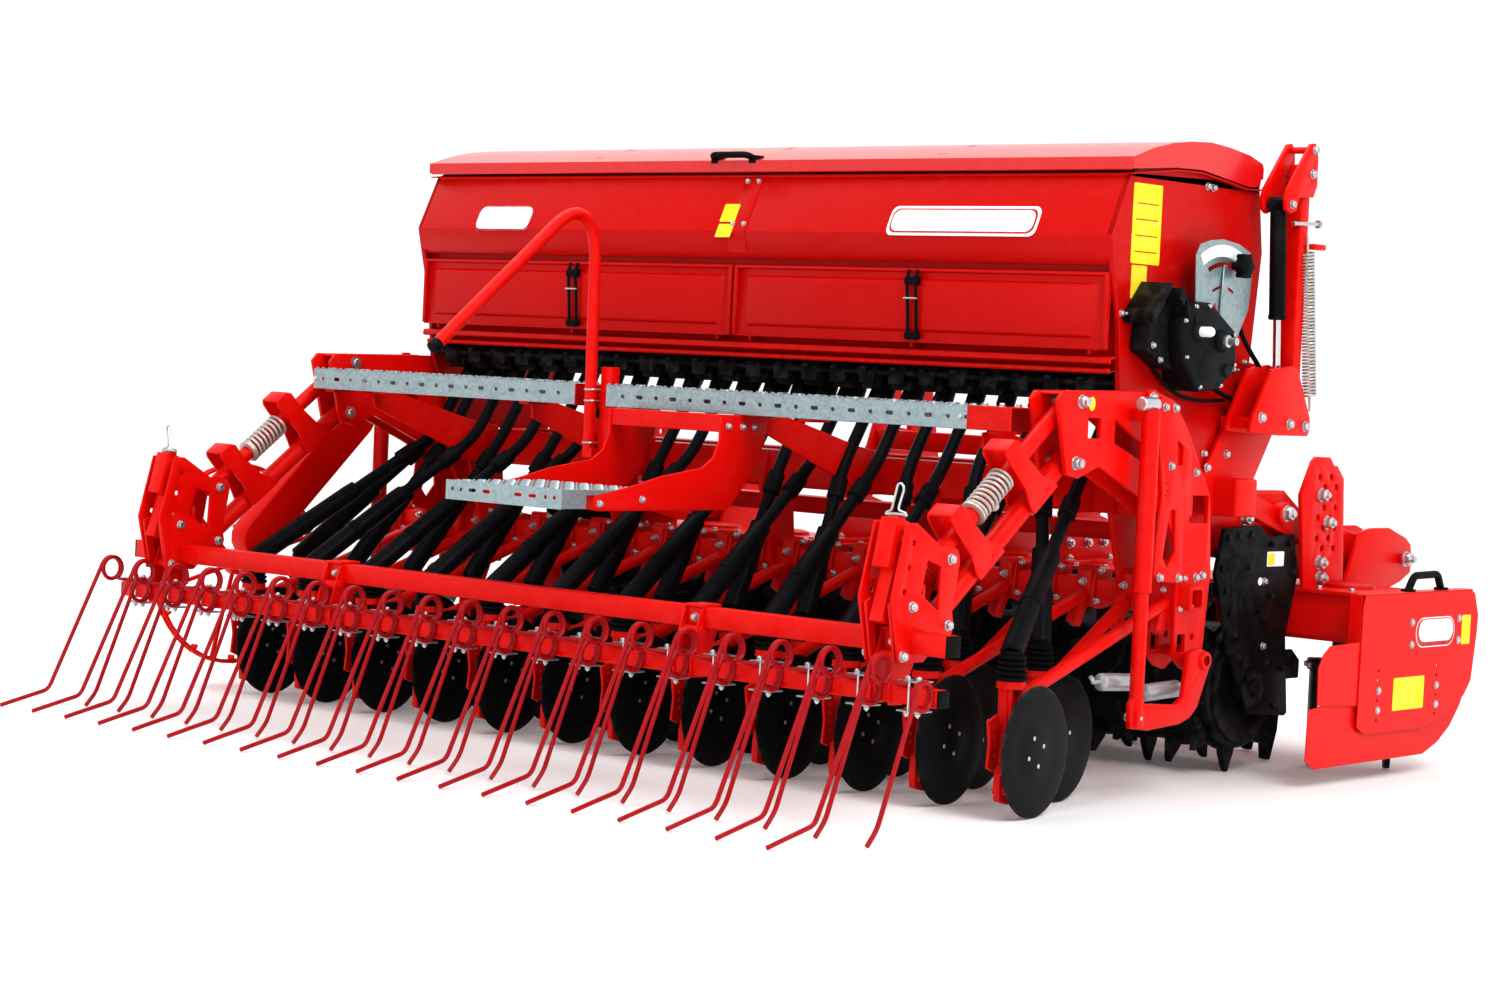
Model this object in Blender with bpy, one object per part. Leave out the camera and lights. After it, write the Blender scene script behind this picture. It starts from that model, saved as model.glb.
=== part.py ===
"""Mounted seed drill on a power harrow: 3 m wide, 24 disc coulters, one named solid per piece.

Metres, +Z up, +Y the driving direction, +X to the right of someone walking behind it.
"""

import bpy
import bmesh
from math import atan2, cos, pi, radians, sin
from mathutils import Matrix, Vector

GAP = 0.0003  # between pieces that touch
PIN_CLEARANCE = 0.0009

# Coulters
DISC_COUNT_PER_ROW = 12
ROW_PITCH = 0.125
DISC_RADIUS = 0.1575
DISC_HALF_THICKNESS = 0.006
DISC_TOE = radians(6)
FIRST_FRONT_DISC_X = -1.495
FRONT_DISC_Y = -0.81
REAR_DISC_Y = -1.094
COULTER_BAR_Y = -0.42
COULTER_BAR_Z = 0.50
COULTER_BAR_SIDE = 0.06
COULTER_BAR_LEFT = -1.585
COULTER_BAR_RIGHT = 1.375
ARM_RADIUS = 0.016
ARM_OFFSET_X = -0.07
BOOT_OFFSET_X = -0.04
BOOT_THICKNESS = 0.016
BOOT_TOP = 0.165  # above the disc's centre
BOOT_TUBE_Y = -0.0525

# Hopper
HOPPER_HALF = 1.25
HOPPER_WALL = 0.005
HOPPER_FLOOR_Z = 1.06
LID_OVERHANG = 0.02
LID_HALF = HOPPER_HALF + LID_OVERHANG
LID_SHEET = 0.005
LID_HINGE = (-0.02, 1.60)
LID_HINGE_INSET = 0.35
LID_HINGES_X = (LID_HINGE_INSET - HOPPER_HALF, 0.0, HOPPER_HALF - LID_HINGE_INSET)
HINGE_HALF = 0.05
COVER_HINGE = (-0.6735, 1.112)
COVER_TOP = (-0.668, 1.297)
COVER_SHEET = 0.005
COVER_SIDE_GAP = 0.008
COVER_BRACKET_INSET = 0.07
COVER_BRACKET_INNER_X = 0.06
COVER_BRACKET_HALF = 0.004
COVER_FACE_GAP = 0.0009  # the covers lean, so a bracket keeps this off the face
OUTLET_RAIL = (-0.56, -0.48)
OUTLET_RAIL_INSET = 0.04
TUBE_END_INSET = 0.07

# Drill frame
ARM_PLATE_INNER_X = 1.255
ARM_PLATE_OUTER_X = 1.333
ARM_PLATE_SHEET = 0.012
BEAM_BOTTOM_Z = 0.70
BEAM_SIDE = 0.10
REAR_BEAM_Y = -0.50
FRONT_BEAM_Y = -0.20

# Parallel links of the following harrow
LINK_X = 1.30
LINK_UPPER_PIN = (-0.925, 0.984)
LINK_LOWER_PIN = (-0.938, 0.837)
LINK_RUN = (-0.485, -0.370)
UPPER_LINK_RADIUS = 0.022
LOWER_LINK_RADIUS = 0.026
LINK_PIN_RADIUS = 0.010
LINK_OVERHANG = 0.020

# Following harrow
TINE_UNITS = 20
TINE_BEAM_Y = -1.566
TINE_BEAM_Z = 0.316
TINE_BEAM_SIDE = 0.04
TINE_BEAM_HALF = 1.46
TINE_PITCH = 2 * TINE_BEAM_HALF / TINE_UNITS
CARRIER_TUBE_Y = -1.525
CARRIER_TUBE_Z = 0.43
CARRIER_TUBE_SIDE = 0.05
CARRIER_TUBE_HALF = 1.45
TINE_WIRE_RADIUS = 0.006
COIL_RADIUS = 0.037
COIL_CENTRE = (-1.644, 0.378)
LOWER_COIL_CENTRE = (-1.618, 0.322)
LONG_TINE_X = -0.044  # from the middle of a unit
SHORT_TINE_X = 0.056

# Power harrow
TROUGH_HALF = 1.45
TROUGH_TOP_Z = 0.50
TROUGH_BOTTOM_Z = 0.36
TROUGH_REAR_Y = 0.30
TROUGH_FRONT_Y = 0.70
ROTOR_COUNT = 10
ROTOR_PITCH = 2 * TROUGH_HALF / ROTOR_COUNT
ROTOR_Y = 0.50
ROTOR_RADIUS = 0.135
SHIELD_OFFSET = 0.044
SHIELD_X = TROUGH_HALF + SHIELD_OFFSET
SHIELD_SHEET = 0.006

# Packer roller
ROLLER_Y = 0.09
ROLLER_TOOTH_RADIUS = 0.235
ROLLER_Z = ROLLER_TOOTH_RADIUS
ROLLER_DRUM_RADIUS = 0.165
ROLLER_HALF = 1.205
ROLLER_RINGS = 20
ROLLER_TEETH = 8
ROLLER_AXLE_RADIUS = 0.0195
PACKER_PLATE_X = 1.225
PACKER_PLATE_SHEET = 0.015
PACKER_ARM_X = 1.15
PACKER_ARM_WIDTH = 0.04

# Footboard, step and rail
PLANK_REAR_Y = -1.083
PLANK_DEPTH = 0.113
PLANK_BOTTOM_Z = 0.905
PLANK_HEIGHT = 0.058
STEP_LEFT_X = 0.010
STEP_RIGHT_X = 0.405
STEP_ARM_SHEET = 0.008
RAIL_X = -0.140
RAIL_RADIUS = 0.0165

# Ground drive wheel
GROUND_WHEEL_X = -1.60
GROUND_WHEEL_Y = -1.065
GROUND_WHEEL_Z = 0.366
GROUND_WHEEL_RADIUS = 0.302
GROUND_WHEEL_WIDTH = 0.025

# Marker tower
TOWER_X = 1.326
TOWER_PLATE_GAP = 0.058  # between the two rocker plates
TOWER_SHEET = 0.012
ROCKER_PIVOT = (0.040, 1.60)
CYLINDER_TOP = (-0.055, 1.515)
CYLINDER_FOOT = (-0.010, 0.945)
BARREL_RADIUS = 0.022
ROD_RADIUS = 0.011
BARREL_BORE = ROD_RADIUS + PIN_CLEARANCE
BARREL_LENGTH = 0.30
ROD_INSIDE = 0.11
EYE_RADIUS = 0.020
FOOT_EYE_RADIUS = 0.026
FOOT_EYE_HOLE = 0.017
TOWER_PIN_RADIUS = 0.008

RED = ("machine_red", (0.72, 0.03, 0.02, 1), 0.35, 0.0)
DARK_RED = ("tine_red", (0.36, 0.02, 0.03, 1), 0.45, 0.0)
BLACK = ("satin_black", (0.02, 0.02, 0.022, 1), 0.45, 0.0)
ZINC = ("galvanised", (0.55, 0.60, 0.58, 1), 0.45, 0.8)
STEEL = ("bright_steel", (0.75, 0.75, 0.76, 1), 0.2, 1.0)


def clear_scene():
    for obj in list(bpy.data.objects):
        bpy.data.objects.remove(obj, do_unlink=True)


def material(finish):
    name, colour, roughness, metallic = finish
    found = bpy.data.materials.get(name)
    if found:
        return found
    made = bpy.data.materials.new(name)
    made.use_nodes = True
    shader = made.node_tree.nodes["Principled BSDF"]
    shader.inputs["Base Color"].default_value = colour
    shader.inputs["Roughness"].default_value = roughness
    shader.inputs["Metallic"].default_value = metallic
    return made


def shape(build):
    """A loose object whose mesh is what build(bm) makes, closed and facing outwards."""
    bm = bmesh.new()
    build(bm)
    bmesh.ops.recalc_face_normals(bm, faces=bm.faces)
    mesh = bpy.data.meshes.new("shape")
    bm.to_mesh(mesh)
    bm.free()
    obj = bpy.data.objects.new("shape", mesh)
    bpy.context.scene.collection.objects.link(obj)
    return obj


def prism(outline, low, high, place):
    """A flat outline extruded from low to high, each corner placed by place(a, b, depth)."""
    def build(bm):
        verts = [bm.verts.new(place(a, b, low)) for a, b in outline]
        face = bm.faces.new(verts)
        grown = bmesh.ops.extrude_face_region(bm, geom=[face])
        moved = [item for item in grown["geom"] if isinstance(item, bmesh.types.BMVert)]
        shift = Vector(place(0, 0, high)) - Vector(place(0, 0, low))
        bmesh.ops.translate(bm, verts=moved, vec=shift)
    return shape(build)


def plate(outline, x_low, x_high):
    """A plate that stands in the YZ plane."""
    return prism(outline, x_low, x_high, lambda y, z, x: (x, y, z))


def block(x_low, x_high, y_low, y_high, z_low, z_high):
    return plate([(y_low, z_low), (y_high, z_low), (y_high, z_high), (y_low, z_high)], x_low, x_high)


def square(centre_y, centre_z, side):
    half = side / 2
    return (centre_y - half, centre_y + half, centre_z - half, centre_z + half)


def rod(start, end, radius, sides=8, turn=0.0):
    """A round bar from start to end. With turn 0 a bar along X has a corner on its top."""
    start, end = Vector(start), Vector(end)
    along = (end - start).normalized()
    side = along.cross(Vector((0, 0, 1)) if abs(along.z) < 0.9 else Vector((0, 1, 0))).normalized()
    up = side.cross(along)

    def build(bm):
        ring = []
        for step in range(sides):
            angle = turn + 2 * pi * step / sides
            offset = up * (cos(angle) * radius) + side * (sin(angle) * radius)
            ring.append(bm.verts.new(start + offset))
        grown = bmesh.ops.extrude_face_region(bm, geom=[bm.faces.new(ring)])
        moved = [item for item in grown["geom"] if isinstance(item, bmesh.types.BMVert)]
        bmesh.ops.translate(bm, verts=moved, vec=end - start)
    return shape(build)


def pipe(points, radius, sides=6):
    """A bar bent through the points, with mitred corners."""
    points = [Vector(point) for point in points]

    def build(bm):
        rings = []
        side = None
        for index, point in enumerate(points):
            before = (point - points[index - 1]).normalized() if index else None
            after = (points[index + 1] - point).normalized() if index + 1 < len(points) else None
            along = ((before or after) + (after or before)).normalized()
            if side is None:
                side = along.cross(Vector((0.31, 0.17, 0.93))).normalized()
            side = (side - along * side.dot(along)).normalized()
            up = side.cross(along)
            ring = []
            for step in range(sides):
                angle = 2 * pi * step / sides
                ring.append(bm.verts.new(point + up * (cos(angle) * radius) + side * (sin(angle) * radius)))
            rings.append(ring)
        bm.faces.new(rings[0])
        bm.faces.new(rings[-1])
        for first, second in zip(rings, rings[1:]):
            for step in range(sides):
                after = (step + 1) % sides
                bm.faces.new((first[step], first[after], second[after], second[step]))
    return shape(build)


def box_bar(start, end, width, x_low, x_high):
    """A flat-sided bar in the YZ plane from start to end."""
    start, end = Vector(start), Vector(end)
    along = (end - start).normalized()
    across = Vector((-along.y, along.x)) * (width / 2)
    corners = [start + across, end + across, end - across, start - across]
    return plate([tuple(corner) for corner in corners], x_low, x_high)


def arc(centre, radius, start, end, steps):
    """Points on a circle in the YZ plane, by angles in degrees."""
    angles = [radians(start + (end - start) * step / steps) for step in range(steps + 1)]
    return [(centre[0] + radius * cos(a), centre[1] + radius * sin(a)) for a in angles]


def apply_boolean(target, operation, others):
    """Joins the others to the target, or cuts them from it, and deletes them."""
    group = bpy.data.collections.new("operands")
    bpy.context.scene.collection.children.link(group)
    for other in others:
        bpy.context.scene.collection.objects.unlink(other)
        group.objects.link(other)
    modifier = target.modifiers.new(operation.lower(), "BOOLEAN")
    modifier.operation = operation
    modifier.operand_type = "COLLECTION"
    modifier.collection = group
    modifier.solver = "EXACT"
    graph = bpy.context.evaluated_depsgraph_get()
    result = bpy.data.meshes.new_from_object(target.evaluated_get(graph))
    target.modifiers.clear()
    target.data = result
    for other in others:
        bpy.data.objects.remove(other, do_unlink=True)
    bpy.data.collections.remove(group)


def piece(name, adds, finish, cuts=(), pivot=(0, 0, 0)):
    """One named solid: the union of adds less the cuts, with its origin at the pivot."""
    obj = adds[0]
    if len(adds) > 1:
        apply_boolean(obj, "UNION", adds[1:])
    if cuts:
        apply_boolean(obj, "DIFFERENCE", list(cuts))
    obj.name = name
    obj.data.name = name
    obj.data.materials.clear()
    obj.data.materials.append(material(finish))
    obj.data.transform(Matrix.Translation(-Vector(pivot)))
    obj.location = pivot
    obj.data.shade_smooth()
    obj.data.set_sharp_from_angle(angle=radians(35))
    return obj


def mirrored(outline_function):
    """The pieces of both sides: outline_function(sign) for the right, +1, and the left, -1."""
    return outline_function(1) + outline_function(-1)


def across(x_low, x_high, sign):
    """A span of X on the right side, or mirrored to the left."""
    return (x_low, x_high) if sign > 0 else (-x_high, -x_low)


def link_end(pin):
    return (pin[0] + LINK_RUN[0], pin[1] + LINK_RUN[1])


def arm_plate_outline():
    return [(-1.020, 0.985), (-1.000, 1.007), (-0.603, 1.015), (-0.521, 0.994), (-0.448, 0.916),
            (-0.336, 0.755), (-0.316, 0.560), (-0.335, 0.373), (-0.388, 0.310), (-0.470, 0.354),
            (-0.475, 0.620), (-0.520, 0.690), (-0.646, 0.750), (-0.839, 0.829), (-0.925, 0.800),
            (-0.972, 0.808)]


def coulter_bar_block(clearance):
    side = COULTER_BAR_SIDE + 2 * clearance
    return block(COULTER_BAR_LEFT, COULTER_BAR_RIGHT, *square(COULTER_BAR_Y, COULTER_BAR_Z, side))


def disc_places():
    """The centre of every disc with its name, front row then rear row, from left to right."""
    for row, offset, y in (("front", 0, FRONT_DISC_Y), ("rear", ROW_PITCH, REAR_DISC_Y)):
        for index in range(DISC_COUNT_PER_ROW):
            x = FIRST_FRONT_DISC_X + offset + 2 * ROW_PITCH * index
            yield f"disc_{row}_{index + 1:02d}", Vector((x, y, DISC_RADIUS))


def make_drill_frame():
    def side(sign):
        inner = across(ARM_PLATE_INNER_X, ARM_PLATE_INNER_X + ARM_PLATE_SHEET, sign)
        outer = across(ARM_PLATE_OUTER_X, ARM_PLATE_OUTER_X + ARM_PLATE_SHEET, sign)
        parts = [plate(arm_plate_outline(), *inner), plate(arm_plate_outline(), *outer)]
        span = across(ARM_PLATE_INNER_X + 0.002, ARM_PLATE_OUTER_X + 0.020, sign)
        for y, z in (LINK_UPPER_PIN, LINK_LOWER_PIN):
            parts.append(rod((span[0], y, z), (span[1], y, z), LINK_PIN_RADIUS))
        spacer = across(ARM_PLATE_INNER_X + 0.002, ARM_PLATE_OUTER_X + 0.002, sign)
        parts.append(rod((spacer[0], -0.375, 0.36), (spacer[1], -0.375, 0.36), 0.015))
        # The stay that carries the outer end of the coulter bar, with its adjusting tube.
        stay = across(1.380, 1.395, sign)
        parts.append(plate([(-0.718, 0.191), (-0.640, 0.182), (-0.470, 0.196), (-0.422, 0.229),
                            (-0.381, 0.336), (-0.414, 0.374), (-0.472, 0.368), (-0.490, 0.257),
                            (-0.560, 0.237), (-0.724, 0.250)], *stay))
        pin = across(ARM_PLATE_OUTER_X + 0.002, 1.390, sign)
        parts.append(rod((pin[0], -0.400, 0.345), (pin[1], -0.400, 0.345), 0.013))
        strut_x = sign * 1.388
        parts.append(rod((strut_x, -0.690, 0.205), (strut_x, -0.690, 0.560), 0.018, 10))
        parts.append(rod((strut_x, -0.690, 0.530), (strut_x, -0.690, 0.985), 0.024, 10))
        top = across(ARM_PLATE_OUTER_X + 0.002, 1.400, sign)
        parts.append(block(*top, -0.712, -0.668, 0.940, 0.980))
        # The stay that runs forward and down beside the packer arm.
        parts.append(box_bar((-0.150, 0.790), (0.360, 0.640), 0.060, *across(1.195, 1.220, sign)))
        return parts

    beam_top = BEAM_BOTTOM_Z + BEAM_SIDE
    beam_half = ARM_PLATE_OUTER_X + 0.005
    parts = mirrored(side)
    parts.append(block(-beam_half, beam_half, REAR_BEAM_Y, REAR_BEAM_Y + BEAM_SIDE, BEAM_BOTTOM_Z, beam_top))
    parts.append(block(-beam_half, beam_half, FRONT_BEAM_Y, FRONT_BEAM_Y + BEAM_SIDE, BEAM_BOTTOM_Z, beam_top))
    for x in (-0.9, -0.3, 0.3, 0.9):
        parts.append(block(x - 0.03, x + 0.03, REAR_BEAM_Y + 0.05, FRONT_BEAM_Y + 0.05, 0.715, 0.775))
    # The chain case that reaches back to the ground wheel.
    parts.append(box_bar((-0.660, 0.860), (-1.130, 0.410), 0.120, -1.530, -1.460))
    parts.append(rod((-1.500, GROUND_WHEEL_Y, GROUND_WHEEL_Z + 0.020), (-1.530, GROUND_WHEEL_Y,
                 GROUND_WHEEL_Z + 0.020), 0.060, 12))
    parts.append(rod((-1.500, GROUND_WHEEL_Y, GROUND_WHEEL_Z), (-1.628, GROUND_WHEEL_Y, GROUND_WHEEL_Z),
                 0.012, 12))
    parts.append(rod((-1.490, -0.700, 0.830), (-1.340, -0.700, 0.830), 0.030, 10))
    # The marker tower: its base plate, the foot clevis and the post.
    base = [(-0.220, 0.702), (-0.070, 0.702), (0.075, 0.915), (0.075, 0.970), (0.010, 1.095),
            (-0.040, 1.100), (-0.130, 0.980), (-0.250, 0.810)]
    parts.append(plate(base, ARM_PLATE_INNER_X, ARM_PLATE_INNER_X + ARM_PLATE_SHEET))
    clevis = [(-0.060, 0.915), (0.085, 0.915), (0.088, 0.950), (0.020, 1.090), (0.000, 1.095),
              (-0.030, 1.000), (-0.060, 0.960)]
    inner = TOWER_X - TOWER_PLATE_GAP / 2
    outer = TOWER_X + TOWER_PLATE_GAP / 2
    parts.append(plate(clevis, inner - TOWER_SHEET, inner))
    parts.append(plate(clevis, outer, outer + TOWER_SHEET))
    parts.append(block(ARM_PLATE_INNER_X + 0.002, outer + 0.002, 0.028, 0.070, 0.918, 0.962))
    parts.append(rod((inner - 0.010, *CYLINDER_FOOT), (outer + 0.016, *CYLINDER_FOOT), TOWER_PIN_RADIUS))
    parts.append(block(TOWER_X - 0.024, TOWER_X + 0.024, 0.022, 0.062, 0.930, 1.625))
    pivot_half = TOWER_PLATE_GAP / 2 + TOWER_SHEET + 0.006
    parts.append(rod((TOWER_X - pivot_half, *ROCKER_PIVOT), (TOWER_X + pivot_half, *ROCKER_PIVOT),
                 TOWER_PIN_RADIUS))
    return piece("drill_frame", parts, RED, cuts=[coulter_bar_block(GAP)])


def make_coulter_rows():
    parts = [coulter_bar_block(0)]
    for name, centre in disc_places():
        boot_x = centre.x + BOOT_OFFSET_X
        outline = [(-0.085, BOOT_TOP), (-0.020, BOOT_TOP), (0.030, 0.050), (0.030, -0.020),
                   (-0.020, -0.080), (-0.050, -0.125), (-0.090, -0.115), (-0.075, 0.020)]
        placed = [(centre.y + y, centre.z + z) for y, z in outline]
        half = BOOT_THICKNESS / 2
        parts.append(plate(placed, boot_x - half, boot_x + half))
        start = (centre.x + ARM_OFFSET_X, COULTER_BAR_Y, COULTER_BAR_Z)
        end = (centre.x + BOOT_OFFSET_X - 0.005, centre.y - 0.012, centre.z + 0.125)
        parts.append(rod(start, end, ARM_RADIUS, 6))
        axis = Vector((cos(DISC_TOE), sin(DISC_TOE), 0))
        parts.append(rod(centre + axis * BOOT_OFFSET_X, centre - axis * (DISC_HALF_THICKNESS + GAP), 0.018, 6))
    return piece("coulter_rows", parts, RED)


def make_discs():
    for name, centre in disc_places():
        def build(bm):
            bmesh.ops.create_circle(bm, cap_ends=False, radius=DISC_RADIUS, segments=24)
            rim = list(bm.verts)
            for height in (DISC_HALF_THICKNESS, -DISC_HALF_THICKNESS):
                tip = bm.verts.new((0, 0, height))
                for index, vert in enumerate(rim):
                    bm.faces.new((vert, rim[(index + 1) % len(rim)], tip))
            turned = Matrix.Rotation(DISC_TOE, 4, "Z") @ Matrix.Rotation(pi / 2, 4, "Y")
            bmesh.ops.transform(bm, matrix=Matrix.Translation(centre) @ turned, verts=bm.verts)
        piece(name, [shape(build)], BLACK, pivot=centre)


def make_seed_tubes():
    rail_half = HOPPER_HALF - OUTLET_RAIL_INSET
    reach = HOPPER_HALF - TUBE_END_INSET
    parts = [block(-rail_half, rail_half, *OUTLET_RAIL, 0.985, HOPPER_FLOOR_Z - GAP)]
    for name, centre in disc_places():
        boot = Vector((centre.x + BOOT_OFFSET_X, centre.y + BOOT_TUBE_Y, centre.z + BOOT_TOP + GAP))
        start = Vector((max(-reach, min(reach, boot.x * 0.87)), -0.52, 1.0))
        bend = Vector((start.x, -0.66, 0.78))
        bottom = boot + Vector((0, 0, 0.075))
        middle = bend.lerp(bottom, 0.45)
        parts.append(pipe([start, bend, bend.lerp(bottom, 0.55)], 0.018))
        parts.append(pipe([middle, bottom, boot + Vector((0, 0, 0.03))], 0.027))
        parts.append(rod(boot + Vector((0, 0, 0.055)), boot, 0.034, 8))
    return piece("seed_tubes", parts, BLACK)


def hopper_outline(inset):
    return [(-0.628 + inset, 1.553), (-0.655 + inset, 1.345), (-0.632 + inset, 1.120),
            (-0.600, HOPPER_FLOOR_Z + inset), (-0.440, HOPPER_FLOOR_Z + inset),
            (-0.400 - inset, 1.120 + inset), (-0.004 - inset, 1.390), (-0.030 - inset, 1.570)]


def make_hopper():
    end = [(-0.628, 1.553), (-0.701, 1.395), (-0.683, 1.321), (-0.650, 1.190), (-0.630, 1.015),
           (-0.560, 0.860), (-0.500, 0.80 + GAP), (-0.120, 0.80 + GAP), (-0.050, 0.950),
           (0.000, 1.390), (-0.030, 1.570)]
    parts = [plate(hopper_outline(0), -HOPPER_HALF + 0.003, HOPPER_HALF - 0.003)]
    for sign in (1, -1):
        parts.append(plate(end, *across(HOPPER_HALF - HOPPER_WALL, HOPPER_HALF, sign)))
    # Ledge above the metering covers, and the flange that they hinge on.
    inner = HOPPER_HALF - HOPPER_WALL + 0.001
    parts.append(plate([(-0.668, 1.340), (-0.640, 1.352), (-0.640, 1.330), (-0.660, 1.326)], -inner, inner))
    lug = [(-0.034, 1.545), (-0.012, 1.545), (-0.007, 1.609), (-0.029, 1.609), (-0.029, 1.572),
           (-0.034, 1.565)]
    for x in LID_HINGES_X:
        for sign in (1, -1):
            edge = HINGE_HALF + 0.0005
            parts.append(plate(lug, *(x + sign * edge, x + sign * (edge + 0.006))))
    outer = HOPPER_HALF - COVER_BRACKET_INSET
    face = COVER_HINGE[0] + COVER_SHEET / 2 + COVER_FACE_GAP
    for offset in (COVER_BRACKET_INNER_X, (COVER_BRACKET_INNER_X + outer) / 2, outer):
        for x in (offset, -offset):
            parts.append(block(x - COVER_BRACKET_HALF, x + COVER_BRACKET_HALF, face, -0.625, 1.100, 1.130))
    cavity = hopper_outline(HOPPER_WALL)
    cavity[0] = (cavity[0][0], 1.62)
    cavity[-1] = (cavity[-1][0], 1.62)
    cut_half = HOPPER_HALF - HOPPER_WALL
    return piece("hopper", parts, RED, cuts=[plate(cavity, -cut_half, cut_half)])


def lid_arc(drop):
    crown = [(-0.642, 1.592), (-0.560, 1.620), (-0.475, 1.639), (-0.389, 1.650), (-0.300, 1.655),
             (-0.208, 1.649), (-0.115, 1.637), (-0.052, 1.620)]
    return [(y, z - drop) for y, z in crown]


def make_hopper_lid():
    outer = [(-0.647, 1.562)] + lid_arc(0) + [(-0.045, 1.608), (-0.045, 1.580)]
    inner = [(-0.051, 1.580), (-0.051, 1.603)] + lid_arc(LID_SHEET)[::-1] + [(-0.641, 1.562)]
    outer[1] = (-0.647, outer[1][1])
    inner[-2] = (-0.641, inner[-2][1])
    parts = [plate(outer + inner, -LID_HALF, LID_HALF)]
    cap = [(-0.646, 1.562)] + [(-0.646, 1.590)] + lid_arc(0.001)[1:] + [(-0.047, 1.606),
          (-0.060, 1.560), (-0.111, 1.556), (-0.200, 1.567), (-0.337, 1.582), (-0.452, 1.579)]
    for sign in (1, -1):
        parts.append(plate(cap, *across(LID_HALF - 0.008, LID_HALF, sign)))
    for x in LID_HINGES_X:
        parts.append(rod((x - HINGE_HALF, *LID_HINGE), (x + HINGE_HALF, *LID_HINGE), 0.012, 8))
        parts.append(block(x - HINGE_HALF, x + HINGE_HALF, -0.049, LID_HINGE[0], 1.592, 1.604))
    return piece("hopper_lid", parts, RED, pivot=(0, *LID_HINGE))


def make_metering_covers():
    foot_y, foot_z = COVER_HINGE
    top_y, top_z = COVER_TOP
    half = COVER_SHEET / 2
    outline = [(foot_y - half, foot_z - 0.0005), (foot_y + half, foot_z - 0.0005), (top_y + half, top_z),
               (top_y - 0.012, top_z + 0.008), (top_y - 0.014, top_z)]
    inner, outer = COVER_SIDE_GAP / 2, HOPPER_HALF - HOPPER_WALL - COVER_SIDE_GAP
    for name, span in (("metering_cover_left", (-outer, -inner)), ("metering_cover_right", (inner, outer))):
        piece(name, [plate(outline, *span)], RED, pivot=(0, *COVER_HINGE))


def make_footboard():
    front_y = PLANK_REAR_Y + PLANK_DEPTH
    top = PLANK_BOTTOM_Z + PLANK_HEIGHT
    half = ARM_PLATE_INNER_X - GAP
    section = [(PLANK_REAR_Y, PLANK_BOTTOM_Z), (PLANK_REAR_Y + 0.005, PLANK_BOTTOM_Z),
               (PLANK_REAR_Y + 0.005, top - 0.005), (front_y - 0.005, top - 0.005),
               (front_y - 0.005, PLANK_BOTTOM_Z), (front_y, PLANK_BOTTOM_Z), (front_y, top),
               (PLANK_REAR_Y, top)]
    notch = block(-0.191, -0.076, PLANK_REAR_Y - 0.01, PLANK_REAR_Y + 0.06, PLANK_BOTTOM_Z - 0.01, top + 0.01)
    return piece("footboard", [plate(section, -half, half)], ZINC, cuts=[notch])


def make_loading_step():
    top = PLANK_BOTTOM_Z - GAP
    outline = [(-0.975, top), (-0.985, 0.840), (-1.036, 0.744), (-1.120, 0.662), (-1.596, 0.662),
               (-1.607, 0.700), (-1.369, 0.748), (-1.222, 0.769), (-1.159, 0.840), (-1.159, top)]
    parts = [plate(outline, STEP_LEFT_X, STEP_LEFT_X + STEP_ARM_SHEET),
             plate(outline, STEP_RIGHT_X - STEP_ARM_SHEET, STEP_RIGHT_X),
             block(STEP_LEFT_X - 0.004, STEP_RIGHT_X + 0.004, -1.727, -1.722, 0.667, 0.718),
             block(STEP_LEFT_X + 0.002, STEP_RIGHT_X - 0.002, -1.724, -1.400, 0.700, 0.718),
             block(-0.100, STEP_LEFT_X + 0.004, -1.050, -1.020, 0.770, 0.850),
             block(-0.118, -0.080, -1.062, -1.028, 0.765, 1.010)]
    return piece("loading_step", parts, RED)


def make_handrail():
    y = -1.062 - RAIL_RADIUS
    x = -0.118 - RAIL_RADIUS - GAP
    route = [(x, y, 0.786), (x, y - 0.008, 1.320), (x, y - 0.024, 1.372), (x, y - 0.062, 1.405),
             (x, y - 0.105, 1.408), (x, y - 0.150, 1.385), (-0.138, -1.656, 1.039)]
    clamp = block(x, -0.118 - GAP, -1.075, -1.040, 0.900, 0.960)
    return piece("handrail", [pipe(route, RAIL_RADIUS, 8), clamp], RED)


def make_metering_gearbox():
    body = [(-0.620, 1.110), (-0.610, 1.240), (-0.560, 1.285), (-0.443, 1.290), (-0.250, 1.200),
            (-0.195, 1.110), (-0.300, 1.013), (-0.540, 1.070)]
    sector = [(-0.450, 1.230), (-0.475, 1.430), (-0.420, 1.475), (-0.330, 1.480), (-0.250, 1.450),
              (-0.225, 1.410), (-0.300, 1.200)]
    start = HOPPER_HALF + GAP
    parts = [plate(body, start, start + 0.10), plate(sector, start + 0.030, start + 0.038),
             rod((start + 0.02, -0.270, 1.405), (start + 0.075, -0.270, 1.405), 0.018, 8)]
    return piece("metering_gearbox", parts, BLACK)


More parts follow.
